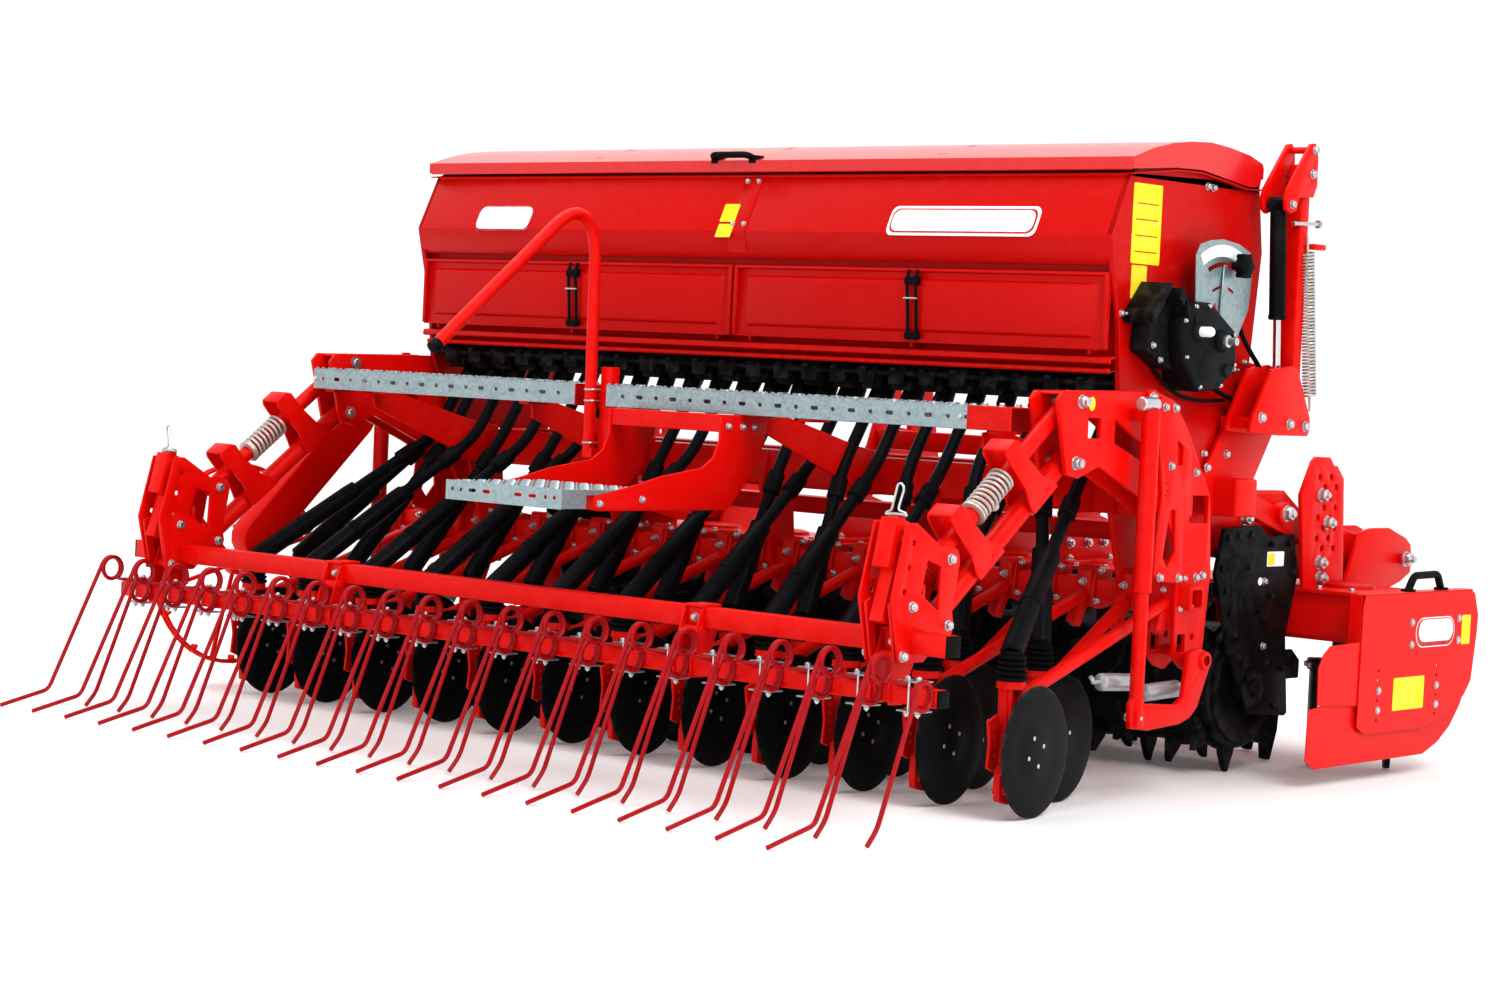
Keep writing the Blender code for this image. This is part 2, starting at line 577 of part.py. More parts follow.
def lower_link(sign):
    x = sign * LINK_X
    start, end = Vector(LINK_LOWER_PIN), Vector(link_end(LINK_LOWER_PIN))
    along = (end - start).normalized()
    up = Vector((along.y, -along.x))
    if up.y < 0:
        up = -up
    tail, head = start - along * LINK_OVERHANG, end + along * LINK_OVERHANG
    parts = [rod((x, *tail), (x, *head), LOWER_LINK_RADIUS, 10, pi / 10)]
    for station in (0.15, 0.40):
        # Two cheeks and a band pass round the upper link with room for the fold.
        outline = [(station - 0.075, -0.010), (station - 0.045, 0.030), (station - 0.005, 0.150),
                   (station + 0.005, 0.185), (station + 0.045, 0.185), (station + 0.050, 0.145),
                   (station + 0.030, -0.010)]
        placed = [tuple(start + along * a + up * b) for a, b in outline]
        for low, high in ((0.0295, 0.0355), (-0.0355, -0.0295)):
            parts.append(plate(placed, x + low, x + high))
        base = [(station - 0.060, 0.0), (station - 0.050, 0.018), (station + 0.025, 0.018),
                (station + 0.025, 0.0)]
        parts.append(plate([tuple(start + along * a + up * b) for a, b in base], x - 0.033, x + 0.033))
        band = [(station + 0.002, 0.178), (station + 0.005, 0.185), (station + 0.045, 0.185),
                (station + 0.046, 0.178)]
        parts.append(plate([tuple(start + along * a + up * b) for a, b in band], x - 0.033, x + 0.033))
    return parts


def eye_holes(x, pins):
    radius = LINK_PIN_RADIUS + PIN_CLEARANCE
    return [rod((x - 0.06, *pin), (x + 0.06, *pin), radius) for pin in pins]


def make_links():
    for side, sign in (("left", -1), ("right", 1)):
        x = sign * LINK_X
        pins = [LINK_LOWER_PIN, link_end(LINK_LOWER_PIN)]
        piece(f"lower_link_{side}", lower_link(sign), RED, cuts=eye_holes(x, pins), pivot=(x, *pins[0]))
        pins = [LINK_UPPER_PIN, link_end(LINK_UPPER_PIN)]
        start, end = Vector(pins[0]), Vector(pins[1])
        along = (end - start).normalized()
        tail, head = start - along * LINK_OVERHANG, end + along * LINK_OVERHANG
        tube = rod((x, *tail), (x, *head), UPPER_LINK_RADIUS, 10, pi / 10)
        piece(f"upper_link_{side}", [tube], RED, cuts=eye_holes(x, pins), pivot=(x, *pins[0]))


def carrier(sign):
    upper, lower = link_end(LINK_UPPER_PIN), link_end(LINK_LOWER_PIN)
    outline = [(upper[0] + 0.025, upper[1] - 0.020), (upper[0] + 0.020, upper[1] + 0.022),
               (upper[0] - 0.030, upper[1] + 0.030), (-1.545, 0.700), (-1.580, 0.700), (-1.625, 0.530),
               (-1.590, 0.385), (-1.500, 0.385), (lower[0] - 0.020, 0.445), (lower[0] + 0.022, 0.445),
               (lower[0] + 0.028, lower[1] + 0.020)]
    window = [(-1.450, 0.600), (-1.500, 0.615), (-1.520, 0.540), (-1.455, 0.500)]
    parts, cuts = [], []
    for low, high in ((1.250, 1.2575), (1.3425, 1.350)):
        span = across(low, high, sign)
        parts.append(plate(outline, *span))
        cuts.append(plate(window, span[0] - 0.002, span[1] + 0.002))
    # The telescopic box that sets the height of the tine beam.
    parts.append(plate([(-1.590, 0.712), (-1.530, 0.712), (-1.578, 0.520), (-1.630, 0.520)],
                       *across(1.252, 1.348, sign)))
    span = across(1.243, 1.358, sign)
    for y, z in (upper, lower):
        parts.append(rod((span[0], y, z), (span[1], y, z), LINK_PIN_RADIUS))
    return parts, cuts


def tine_route(x, coil, kink, tip):
    top = (x, coil[0] - COIL_RADIUS * 0.6, coil[1])
    return [top, (x, *kink), (x, *tip)]


def make_tine_harrow():
    right, right_cuts = carrier(1)
    left, left_cuts = carrier(-1)
    parts = right + left
    parts.append(block(-CARRIER_TUBE_HALF, CARRIER_TUBE_HALF,
                       *square(CARRIER_TUBE_Y, CARRIER_TUBE_Z, CARRIER_TUBE_SIDE)))
    parts.append(block(-TINE_BEAM_HALF, TINE_BEAM_HALF, *square(TINE_BEAM_Y, TINE_BEAM_Z, TINE_BEAM_SIDE)))
    for x in (-LINK_X, 0.0, LINK_X):
        hanger = [(-1.500, 0.430), (-1.555, 0.440), (-1.590, 0.330), (-1.585, 0.290), (-1.545, 0.290)]
        parts.append(plate(hanger, x - 0.006, x + 0.006))
    floor = TINE_WIRE_RADIUS
    for unit in range(TINE_UNITS):
        x = (unit - (TINE_UNITS - 1) / 2) * TINE_PITCH
        for middle, centre in ((x + LONG_TINE_X, COIL_CENTRE), (x + SHORT_TINE_X, LOWER_COIL_CENTRE)):
            parts.append(rod((middle - 0.009, *centre), (middle + 0.009, *centre), COIL_RADIUS, 8, pi / 8))
        parts.append(box_bar((TINE_BEAM_Y, TINE_BEAM_Z + 0.019), (COIL_CENTRE[0], COIL_CENTRE[1] + 0.020),
                             0.016, x + LONG_TINE_X - 0.008, x + LONG_TINE_X + 0.008))
        long_tine = tine_route(x + LONG_TINE_X, COIL_CENTRE, (-1.841, 0.042), (-2.002, floor))
        short_tine = tine_route(x + SHORT_TINE_X, LOWER_COIL_CENTRE, (-1.765, 0.040), (-1.800, floor))
        parts.append(pipe(long_tine, TINE_WIRE_RADIUS, 4))
        parts.append(pipe(short_tine, TINE_WIRE_RADIUS, 4))
    return piece("tine_harrow", parts, RED, cuts=right_cuts + left_cuts)


def make_ground_wheel():
    centre = Vector((GROUND_WHEEL_X, GROUND_WHEEL_Y, GROUND_WHEEL_Z))
    half = GROUND_WHEEL_WIDTH / 2
    middle = (GROUND_WHEEL_Y, GROUND_WHEEL_Z)
    rim = plate(arc(middle, GROUND_WHEEL_RADIUS, 0, 345, 23), centre.x - half, centre.x + half)
    hollow = plate(arc(middle, GROUND_WHEEL_RADIUS - 0.010, 0, 345, 23), centre.x - 0.05, centre.x + 0.05)
    apply_boolean(rim, "DIFFERENCE", [hollow])
    parts = [rim, rod(centre - Vector((0.020, 0, 0)), centre + Vector((0.025, 0, 0)), 0.032, 10)]
    for spoke in range(6):
        angle = radians(15 + 60 * spoke)
        ray = Vector((0, cos(angle), sin(angle)))
        tip = centre + ray * (GROUND_WHEEL_RADIUS - 0.004)
        parts.append(rod(centre + ray * 0.02, tip, 0.007, 6))
    bore = rod(centre - Vector((0.06, 0, 0)), centre + Vector((0.06, 0, 0)), 0.012 + PIN_CLEARANCE, 12)
    return piece("ground_wheel", parts, RED, cuts=[bore], pivot=centre)


def make_packer_roller():
    """A drum with rings of teeth: one sweep of rings of points along X."""
    sides = 2 * ROLLER_TEETH
    tooth_half = 0.010
    pitch = (2 * ROLLER_HALF - 0.08) / (ROLLER_RINGS - 1)

    def ring(bm, x, tips=None):
        verts = []
        for step in range(sides):
            radius = ROLLER_TOOTH_RADIUS if tips is not None and step % 2 == tips else ROLLER_DRUM_RADIUS
            angle = 2 * pi * step / sides
            verts.append(bm.verts.new((x, ROLLER_Y + radius * sin(angle), ROLLER_Z - radius * cos(angle))))
        return verts

    def build(bm):
        rings = [ring(bm, -ROLLER_HALF)]
        for index in range(ROLLER_RINGS):
            x = -ROLLER_HALF + 0.04 + pitch * index
            rings += [ring(bm, x - tooth_half), ring(bm, x, index % 2), ring(bm, x + tooth_half)]
        rings.append(ring(bm, ROLLER_HALF))
        bm.faces.new(rings[0])
        bm.faces.new(rings[-1])
        for first, second in zip(rings, rings[1:]):
            for step in range(sides):
                after = (step + 1) % sides
                bm.faces.new((first[step], first[after], second[step]))
                bm.faces.new((first[after], second[after], second[step]))
    reach = PACKER_PLATE_X + PACKER_PLATE_SHEET + 0.012
    axle = rod((-reach, ROLLER_Y, ROLLER_Z), (reach, ROLLER_Y, ROLLER_Z), ROLLER_AXLE_RADIUS, 12)
    return piece("packer_roller", [shape(build), axle], BLACK, pivot=(0, ROLLER_Y, ROLLER_Z))


def make_packer_frame():
    arm = [(-0.230, 0.600), (-0.230, BEAM_BOTTOM_Z - GAP), (-0.085, BEAM_BOTTOM_Z - GAP), (0.000, 0.760),
           (0.280, 0.760), (0.400, 0.690), (0.880, 0.605), (0.915, 0.566), (0.880, 0.530),
           (0.400, 0.515), (0.200, 0.560)]
    side_plate = [(-0.087, 0.663), (0.083, 0.671), (0.132, 0.639), (0.263, 0.645), (0.293, 0.534),
                  (0.246, 0.371), (0.275, 0.157), (0.073, 0.174), (-0.038, 0.340), (-0.119, 0.543)]

    def side(sign):
        plate_span = across(PACKER_PLATE_X, PACKER_PLATE_X + PACKER_PLATE_SHEET, sign)
        pin = across(1.090, 1.245, sign)
        return [plate(arm, *across(PACKER_ARM_X, PACKER_ARM_X + PACKER_ARM_WIDTH, sign)),
                plate(side_plate, *plate_span),
                rod((pin[0], 0.880, 0.566), (pin[1], 0.880, 0.566), 0.015, 8)]

    reach = PACKER_PLATE_X + 0.005
    scraper_z = ROLLER_Z + ROLLER_TOOTH_RADIUS
    parts = mirrored(side)
    parts.append(block(-reach, reach, -0.060, 0.010, 0.605, 0.655))
    parts.append(block(-reach, reach, -0.110, -0.060, scraper_z, scraper_z + 0.050))
    axle = rod((-1.3, ROLLER_Y, ROLLER_Z), (1.3, ROLLER_Y, ROLLER_Z), ROLLER_AXLE_RADIUS + PIN_CLEARANCE, 12)
    return piece("packer_frame", parts, RED, cuts=[axle])


def make_harrow_trough():
    section = [(TROUGH_REAR_Y, TROUGH_BOTTOM_Z), (TROUGH_FRONT_Y, TROUGH_BOTTOM_Z),
               (TROUGH_FRONT_Y, 0.460), (0.620, TROUGH_TOP_Z), (TROUGH_REAR_Y, TROUGH_TOP_Z)]
    comb = [(0.312, 0.844), (0.400, 0.855), (0.478, 0.796), (0.507, 0.479), (0.365, 0.459),
            (0.295, 0.490), (0.258, 0.753)]
    lug = [(0.560, 0.490), (0.640, 0.645), (0.800, 0.655), (0.930, 0.605), (0.935, 0.525), (0.690, 0.450),
           (0.620, 0.450)]

    def side(sign):
        parts = [plate(comb, *across(1.245, 1.257, sign))]
        for low, high in ((1.110, 1.122), (1.215, 1.227)):
            parts.append(plate(lug, *across(low, high, sign)))
        return parts

    parts = [plate(section, -TROUGH_HALF, TROUGH_HALF)] + mirrored(side)
    gearbox = [(0.340, 0.490), (0.620, 0.490), (0.620, 0.700), (0.570, 0.760), (0.390, 0.760),
               (0.340, 0.700)]
    parts.append(plate(gearbox, -0.160, 0.160))
    parts.append(rod((0, 0.600, 0.620), (0, 0.800, 0.620), 0.020, 8))
    pins = [rod((low, 0.880, 0.566), (high, 0.880, 0.566), 0.015 + GAP * 2, 8)
            for low, high in (across(1.0, 1.3, 1), across(1.0, 1.3, -1))]
    return piece("harrow_trough", parts, RED, cuts=pins)


def make_hitch_frame():
    upright = [(0.280, TROUGH_TOP_Z + GAP), (0.590, TROUGH_TOP_Z + GAP), (0.760, 0.520), (0.960, 0.540),
               (0.980, 0.600), (0.940, 0.680), (0.830, 0.760), (0.740, 1.180), (0.690, 1.200),
               (0.620, 1.170), (0.480, 0.800)]
    parts = []
    for sign in (1, -1):
        parts.append(plate(upright, *across(0.420, 0.440, sign)))
        parts.append(rod((sign * 0.425, 0.920, 0.600), (sign * 0.520, 0.920, 0.600), 0.014, 8))
        parts.append(plate([(0.640, 1.020), (0.760, 1.120), (0.765, 1.210), (0.700, 1.240), (0.630, 1.150)],
                           *across(0.045, 0.060, sign)))
    parts.append(block(-0.430, 0.430, 0.630, 0.710, 1.070, 1.150))
    parts.append(block(-0.430, 0.430, 0.500, 0.560, 0.790, 0.850))
    return piece("hitch_frame", parts, RED)


def make_side_shields():
    front = [(0.204, 0.150), (0.217, 0.503), (0.813, 0.502), (0.848, 0.429), (0.825, 0.248),
             (0.730, 0.171), (0.570, 0.128), (0.242, 0.130)]
    skirt = [(-0.031, 0.208), (0.230, 0.240), (0.800, 0.300), (0.825, 0.248), (0.736, 0.121),
             (0.591, 0.053), (0.008, 0.050), (-0.034, 0.075)]
    flap = [(0.001, 0.218), (-0.004, 0.317), (0.053, 0.373), (0.230, 0.378), (0.230, 0.205)]
    for side, sign in (("left", -1), ("right", 1)):
        sheet = across(SHIELD_X, SHIELD_X + SHIELD_SHEET, sign)
        back = across(SHIELD_X - SHIELD_SHEET + 0.0005, SHIELD_X + 0.0005, sign)
        arm = across(TROUGH_HALF + GAP, SHIELD_X + 0.002, sign)
        flange = across(SHIELD_X - 0.043, SHIELD_X + 0.002, sign)
        parts = [plate(front, *sheet), plate(skirt, *back), plate(flap, *back),
                 block(*arm, 0.330, 0.390, 0.400, 0.450), block(*arm, 0.560, 0.620, 0.400, 0.450),
                 block(*flange, 0.220, 0.810, 0.498, 0.503)]
        piece(f"side_shield_{side}", parts, RED)


def make_rotors():
    for index in range(ROTOR_COUNT):
        x = (index - (ROTOR_COUNT - 1) / 2) * ROTOR_PITCH
        turn = radians(45 if index % 2 else -45)
        top = TROUGH_BOTTOM_Z - GAP
        hub = rod((0, 0, top - 0.070), (0, 0, top), 0.060, 10)
        holder = block(-0.120, 0.120, -0.035, 0.035, 0.265, 0.300)
        parts = [hub, holder]
        for sign in (1, -1):
            blade = [(-0.032, 0.290), (0.032, 0.290), (0.028, 0.090), (0.010, 0.0), (-0.020, 0.0)]
            parts.append(plate(blade, *across(0.100, 0.114, sign)))
        rotor = piece(f"rotor_{index + 1:02d}", parts, BLACK)
        rotor.data.transform(Matrix.Rotation(turn, 4, "Z"))
        rotor.location = (x, ROTOR_Y, 0)


def make_marker():
    pivot, top, foot = Vector(ROCKER_PIVOT), Vector(CYLINDER_TOP), Vector(CYLINDER_FOOT)
    inner = TOWER_X - TOWER_PLATE_GAP / 2
    outer = TOWER_X + TOWER_PLATE_GAP / 2
    cheek = [(-0.080, 1.500), (-0.060, 1.490), (-0.032, 1.500), (-0.020, 1.535), (0.050, 1.540),
             (0.066, 1.570), (0.060, 1.665), (0.048, 1.683), (0.028, 1.678), (-0.075, 1.555)]
    parts = [plate(cheek, inner - TOWER_SHEET, inner), plate(cheek, outer, outer + TOWER_SHEET),
             rod((inner - 0.006, 0.045, 1.663), (outer + 0.006, 0.045, 1.663), 0.009),
             rod((inner - 0.016, *top), (outer + 0.016, *top), TOWER_PIN_RADIUS)]
    hole = rod((inner - 0.05, *pivot), (outer + 0.05, *pivot), TOWER_PIN_RADIUS + PIN_CLEARANCE)
    piece("marker_rocker", parts, RED, cuts=[hole], pivot=(TOWER_X, *pivot))

    down = (foot - top).normalized()
    barrel_end = top + down * BARREL_LENGTH
    eye_half = TOWER_PLATE_GAP / 2 - 0.006
    barrel = [rod((TOWER_X, *(top + down * 0.010)), (TOWER_X, *barrel_end), BARREL_RADIUS, 10),
              rod((TOWER_X - eye_half, *top), (TOWER_X + eye_half, *top), EYE_RADIUS, 10)]
    bore = rod((TOWER_X, *(top + down * 0.08)), (TOWER_X, *(barrel_end + down * 0.02)), BARREL_BORE, 10)
    eye = rod((TOWER_X - 0.1, *top), (TOWER_X + 0.1, *top), TOWER_PIN_RADIUS + PIN_CLEARANCE)
    piece("cylinder_barrel", barrel, BLACK, cuts=[bore, eye], pivot=(TOWER_X, *top))

    start = barrel_end - down * ROD_INSIDE
    shaft = [rod((TOWER_X, *start), (TOWER_X, *(foot - down * 0.018)), ROD_RADIUS, 10),
             rod((TOWER_X - eye_half, *foot), (TOWER_X + eye_half, *foot), FOOT_EYE_RADIUS, 10)]
    eye = rod((TOWER_X - 0.1, *foot), (TOWER_X + 0.1, *foot), FOOT_EYE_HOLE, 10)
    piece("cylinder_rod", shaft, STEEL, cuts=[eye], pivot=(TOWER_X, *start))


def recentre():
    """Moves the whole machine so that the middle of its footprint is the origin."""
    root = bpy.data.objects.new("machine", None)
    bpy.context.scene.collection.objects.link(root)
    bpy.context.view_layer.update()
    solids = [obj for obj in bpy.context.scene.objects if obj.type == "MESH"]
    corners = [obj.matrix_world @ vert.co for obj in solids for vert in obj.data.vertices]
    for obj in solids:
        obj.parent = root
    for axis in (0, 1):
        values = [corner[axis] for corner in corners]
        root.location[axis] = -(min(values) + max(values)) / 2
    root.location.z = -min(corner.z for corner in corners)


def main():
    clear_scene()
    make_harrow_trough()
    make_hitch_frame()
    make_side_shields()
    make_packer_frame()
    make_packer_roller()
    make_rotors()
    make_drill_frame()
    make_coulter_rows()
    make_discs()
    make_seed_tubes()
    make_hopper()
    make_hopper_lid()
    make_metering_covers()
    make_metering_gearbox()
    make_footboard()
    make_loading_step()
    make_handrail()
    make_links()
    make_tine_harrow()
    make_ground_wheel()
    make_marker()
    recentre()


main()
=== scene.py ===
"""Looks of a mounted seed drill on a power harrow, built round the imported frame.

Every piece is modelled in the machine's own measures (X to the right, Y forwards, Z up, metres, with the
hopper's middle at X 0), and settled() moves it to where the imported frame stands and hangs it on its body.
"""

from math import atan2, cos, pi, radians, sin, sqrt

import bmesh
import bpy
from mathutils import Matrix, Vector


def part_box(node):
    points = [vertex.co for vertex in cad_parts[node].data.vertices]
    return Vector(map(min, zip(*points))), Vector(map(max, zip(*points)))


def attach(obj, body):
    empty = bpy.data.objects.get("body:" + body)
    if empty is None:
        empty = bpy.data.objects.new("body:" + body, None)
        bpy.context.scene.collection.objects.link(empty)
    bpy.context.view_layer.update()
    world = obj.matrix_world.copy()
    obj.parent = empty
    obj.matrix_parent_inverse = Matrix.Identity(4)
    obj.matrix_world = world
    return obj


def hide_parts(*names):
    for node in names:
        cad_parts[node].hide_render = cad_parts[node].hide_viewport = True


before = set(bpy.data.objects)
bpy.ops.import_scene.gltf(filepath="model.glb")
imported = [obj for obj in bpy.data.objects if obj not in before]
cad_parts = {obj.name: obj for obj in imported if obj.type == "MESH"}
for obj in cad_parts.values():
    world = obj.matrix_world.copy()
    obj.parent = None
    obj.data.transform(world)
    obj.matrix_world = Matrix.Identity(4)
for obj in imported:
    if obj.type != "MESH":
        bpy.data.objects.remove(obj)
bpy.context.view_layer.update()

DISC_RADIUS = 0.1575
FIRST_DISC = Vector((-1.495, -0.81, DISC_RADIUS))
disc_low, disc_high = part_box("disc_front_01")
DATUM = (disc_low + disc_high) / 2 - FIRST_DISC
shifted = Matrix.Translation

RIGHT, LEFT, AHEAD, BACK, UP, DOWN = (1, 0, 0), (-1, 0, 0), (0, 1, 0), (0, -1, 0), (0, 0, 1), (0, 0, -1)


# ---------------------------------------------------------------- hand tools

def deselect():
    bpy.ops.object.select_all(action="DESELECT")


def edit():
    bpy.ops.object.mode_set(mode="EDIT")


def edit_all():
    """Edit mode with everything selected."""
    edit()
    bpy.ops.mesh.select_all(action="SELECT")


def extruded(way):
    """What is selected, drawn out this way."""
    bpy.ops.mesh.extrude_region_move(TRANSFORM_OT_translate={"value": way})


def leave():
    bpy.ops.object.mode_set(mode="OBJECT")


def pick(*objects):
    deselect()
    for obj in objects:
        obj.select_set(True)
    bpy.context.view_layer.objects.active = objects[0]
    return objects[0]


def outward(obj):
    """Merges what lies on one point and turns every face outwards."""
    pick(obj)
    edit_all()
    bpy.ops.mesh.remove_doubles(threshold=0.00002)
    bpy.ops.mesh.normals_make_consistent(inside=False)
    leave()
    return obj


def faces_where(obj, test):
    """Leaves obj in edit mode with only the faces that pass the test selected."""
    pick(obj)
    edit()
    bpy.ops.mesh.select_mode(type="FACE")
    bpy.ops.mesh.select_all(action="DESELECT")
    bm = bmesh.from_edit_mesh(obj.data)
    for face in bm.faces:
        face.select_set(bool(test(face.calc_center_median(), face.normal)))
    bm.select_flush_mode()
    bmesh.update_edit_mesh(obj.data)


def softened(obj, width, rounds=1, angle=32):
    """Breaks the sharp edges, as a press brake or a grinder leaves them."""
    pick(obj)
    bevel = obj.modifiers.new("soften", "BEVEL")
    bevel.width = width
    bevel.segments = rounds
    bevel.limit_method = "ANGLE"
    bevel.angle_limit = radians(angle)
    bpy.ops.object.modifier_apply(modifier=bevel.name)
    return obj


def painted(obj, finish):
    obj.data.materials.clear()
    obj.data.materials.append(finish)
    return obj


def traced(points, fill=True):
    """A chain drawn by extruding one vertex from point to point, filled when it is an outline."""
    points = [Vector(point) for point in points]
    deselect()
    bpy.ops.mesh.primitive_plane_add(size=0.01)
    obj = bpy.context.active_object
    edit()
    bpy.ops.mesh.select_mode(type="VERT")
    bpy.ops.mesh.select_all(action="SELECT")
    bpy.ops.mesh.merge(type="CENTER")
    bpy.ops.transform.translate(value=points[0])
    for before, after in zip(points, points[1:]):
        extruded(after - before)
    if fill:
        bpy.ops.mesh.select_all(action="SELECT")
        bpy.ops.mesh.edge_face_add()
    leave()
    return obj


def standing(axis, a, b, depth):
    """The point (a, b) of a drawing whose face looks along the axis, at this depth."""
    return Vector({"x": (depth, a, b), "y": (a, depth, b), "z": (a, b, depth)}[axis])


def slab(outline, low, high, finish, axis="x", soft=0.0015, rounds=1, holes=()):
    """A plate cut to an outline, with its holes, and its edges broken."""
    obj = traced([standing(axis, a, b, low) for a, b in outline])
    edit_all()
    extruded(standing(axis, 0, 0, high) - standing(axis, 0, 0, low))
    leave()
    outward(obj)
    if holes:
        cut(obj, list(holes))
    if soft:
        softened(obj, soft, rounds)
    return painted(obj, finish)


def cut(obj, cutters):
    tool = outward(joined(cutters))
    pick(obj)
    knife = obj.modifiers.new("cut", "BOOLEAN")
    knife.operation = "DIFFERENCE"
    knife.solver = "EXACT"
    knife.use_self = True
    knife.object = tool
    bpy.ops.object.modifier_apply(modifier=knife.name)
    bpy.data.objects.remove(tool, do_unlink=True)
    return obj


def red_plate(outline, low, high, holes=(), soft=0.002):
    """A sheet of machine red, square to X."""
    return slab(outline, low, high, RED, soft=soft, rounds=2, holes=holes)


def window(corners, low, high, axis="x"):
    """A cutter for a window with these corners."""
    reach = 0.01
    return slab(corners, low - reach, high + reach, None, axis, soft=0)


def bored(a, b, radius, low, high, axis="x", sides=16):
    """A cutter for a round hole."""
    start, end = standing(axis, a, b, low - 0.01), standing(axis, a, b, high + 0.01)
    return rod(start, end, radius, None, sides, soft=0)


def arc(centre, radius, first, last, steps):
    """Points on a round stretch between two angles in degrees."""
    angles = [radians(first + (last - first) * step / steps) for step in range(steps + 1)]
    return [(centre[0] + cos(angle) * radius, centre[1] + sin(angle) * radius) for angle in angles]


def slotted(a, b, length, width, low, high, axis="x"):
    """A cutter for a slot with round ends, along the drawing's first direction."""
    half, radius = (length - width) / 2, width / 2
    return window(arc((a + half, b), radius, -90, 90, 4) + arc((a - half, b), radius, 90, 270, 4), low, high,
            axis)


def box(x_low, x_high, y_low, y_high, z_low, z_high, finish, soft=0.002, rounds=1):
    deselect()
    middle = ((x_low + x_high) / 2, (y_low + y_high) / 2, (z_low + z_high) / 2)
    size = (x_high - x_low, y_high - y_low, z_high - z_low)
    bpy.ops.mesh.primitive_cube_add(size=1, location=middle, scale=size)
    obj = bpy.context.active_object
    bpy.ops.object.transform_apply(location=True, rotation=True, scale=True)
    if soft:
        softened(obj, soft, rounds)
    return painted(obj, finish)


def open_ends(obj, axis, wall, depth):
    """Makes the two ends of a solid bar along an axis look into a tube with this wall."""
    way = standing(axis, 0, 0, 1)
    for sign in (1, -1):
        faces_where(obj, lambda centre, normal: normal.dot(way) * sign > 0.95)
        bpy.ops.mesh.inset(thickness=wall, depth=0)
        extruded(-way * sign * depth)
        leave()
    return obj


def rod(start, end, radius, finish, sides=14, soft=None):
    start, end = Vector(start), Vector(end)
    along = end - start
    deselect()
    turn = along.to_track_quat("Z", "Y").to_euler()
    bpy.ops.mesh.primitive_cylinder_add(vertices=sides, radius=radius, depth=along.length,
            location=(start + end) / 2, rotation=turn)
    obj = bpy.context.active_object
    bpy.ops.object.transform_apply(location=True, rotation=True, scale=True)
    if soft is None:
        soft = min(radius * 0.2, along.length * 0.2, 0.002)
    if soft:
        softened(obj, soft, 1, 50)
    return painted(obj, finish) if finish else obj


def turned(profile, centre, along, finish, steps=24):
    """A lathe part: (distance along, radius) pairs spun about the axis through the centre."""
    obj = traced([(reach, 0, radius) for reach, radius in profile], fill=False)
    edit_all()
    bpy.ops.mesh.spin(steps=steps, angle=2 * pi, center=(0, 0, 0), axis=RIGHT)
    leave()
    outward(obj)
    turn = Vector(along).normalized().to_track_quat("X", "Z").to_matrix().to_4x4()
    obj.data.transform(shifted(Vector(centre)) @ turn)
    return painted(obj, finish)


def rounded(points, bend, steps=4):
    """The points with each inner corner replaced by a bend that leaves it this far off."""
    points = [Vector(point) for point in points]
    made = [points[0]]
    for before, corner, after in zip(points, points[1:], points[2:]):
        off = min(bend, (before - corner).length * 0.48, (after - corner).length * 0.48)
        start = corner + (before - corner).normalized() * off
        end = corner + (after - corner).normalized() * off
        for step in range(steps + 1):
            t = step / steps
            made.append(start * (1 - t) ** 2 + corner * 2 * t * (1 - t) + end * t * t)
    return made + [points[-1]]


def wire(points, radius, finish, ring=2):
    """A round bar or hose bent along the points."""
    curve = bpy.data.curves.new("bar", "CURVE")
    curve.dimensions = "3D"
    curve.bevel_depth = radius
    curve.bevel_resolution = ring
    curve.use_fill_caps = True
    line = curve.splines.new("POLY")
    line.points.add(len(points) - 1)
    for knot, point in zip(line.points, points):
        knot.co = (*point, 1)
    obj = bpy.data.objects.new("bar", curve)
    bpy.context.scene.collection.objects.link(obj)
    pick(obj)
    bpy.ops.object.convert(target="MESH")
    return painted(outward(bpy.context.active_object), finish)


def coiled(start, end, radius, turns, per_turn=12):
    """Points of a coil wound round the line from start to end."""
    start, end = Vector(start), Vector(end)
    along = (end - start).normalized()
    side = along.orthogonal().normalized()
    up = along.cross(side)
    made = []
    for step in range(int(turns * per_turn) + 1):
        angle = 2 * pi * step / per_turn
        share = step / (turns * per_turn)
        made.append(start.lerp(end, share) + side * (cos(angle) * radius) + up * (sin(angle) * radius))
    return made


def joined(parts):
    parts = [part for part in parts if part]
    if len(parts) == 1:
        return parts[0]
    pick(*parts)
    bpy.ops.object.join()
    return bpy.context.active_object


def copied(obj, matrix):
    made = obj.copy()
    made.data = obj.data.copy()
    made.data.transform(matrix)
    bpy.context.scene.collection.objects.link(made)
    if matrix.determinant() < 0:
        made.data.flip_normals()
    return made


def copies(obj, places):
    """The model set at each place and made one piece; the model itself is used up."""
    made = joined([copied(obj, place) for place in places])
    bpy.data.objects.remove(obj, do_unlink=True)
    return made


def move(x, y, z):
    return Matrix.Translation((x, y, z))


FLIP = Matrix.Scale(-1, 4, RIGHT)


def both_sides(parts):
    """The right-hand parts and their mirror twins."""
    right = joined(parts)
    return [right, copied(right, FLIP)]


def on_side(obj, sign):
    """The right-hand piece, or with a negative sign its mirror twin in its place."""
    if sign < 0:
        obj.data.transform(FLIP)
        obj.data.flip_normals()
    return obj


def facing(direction):
    """Turns a model that points along +X to point along this direction."""
    return Vector(direction).normalized().to_track_quat("X", "Z").to_matrix().to_4x4()


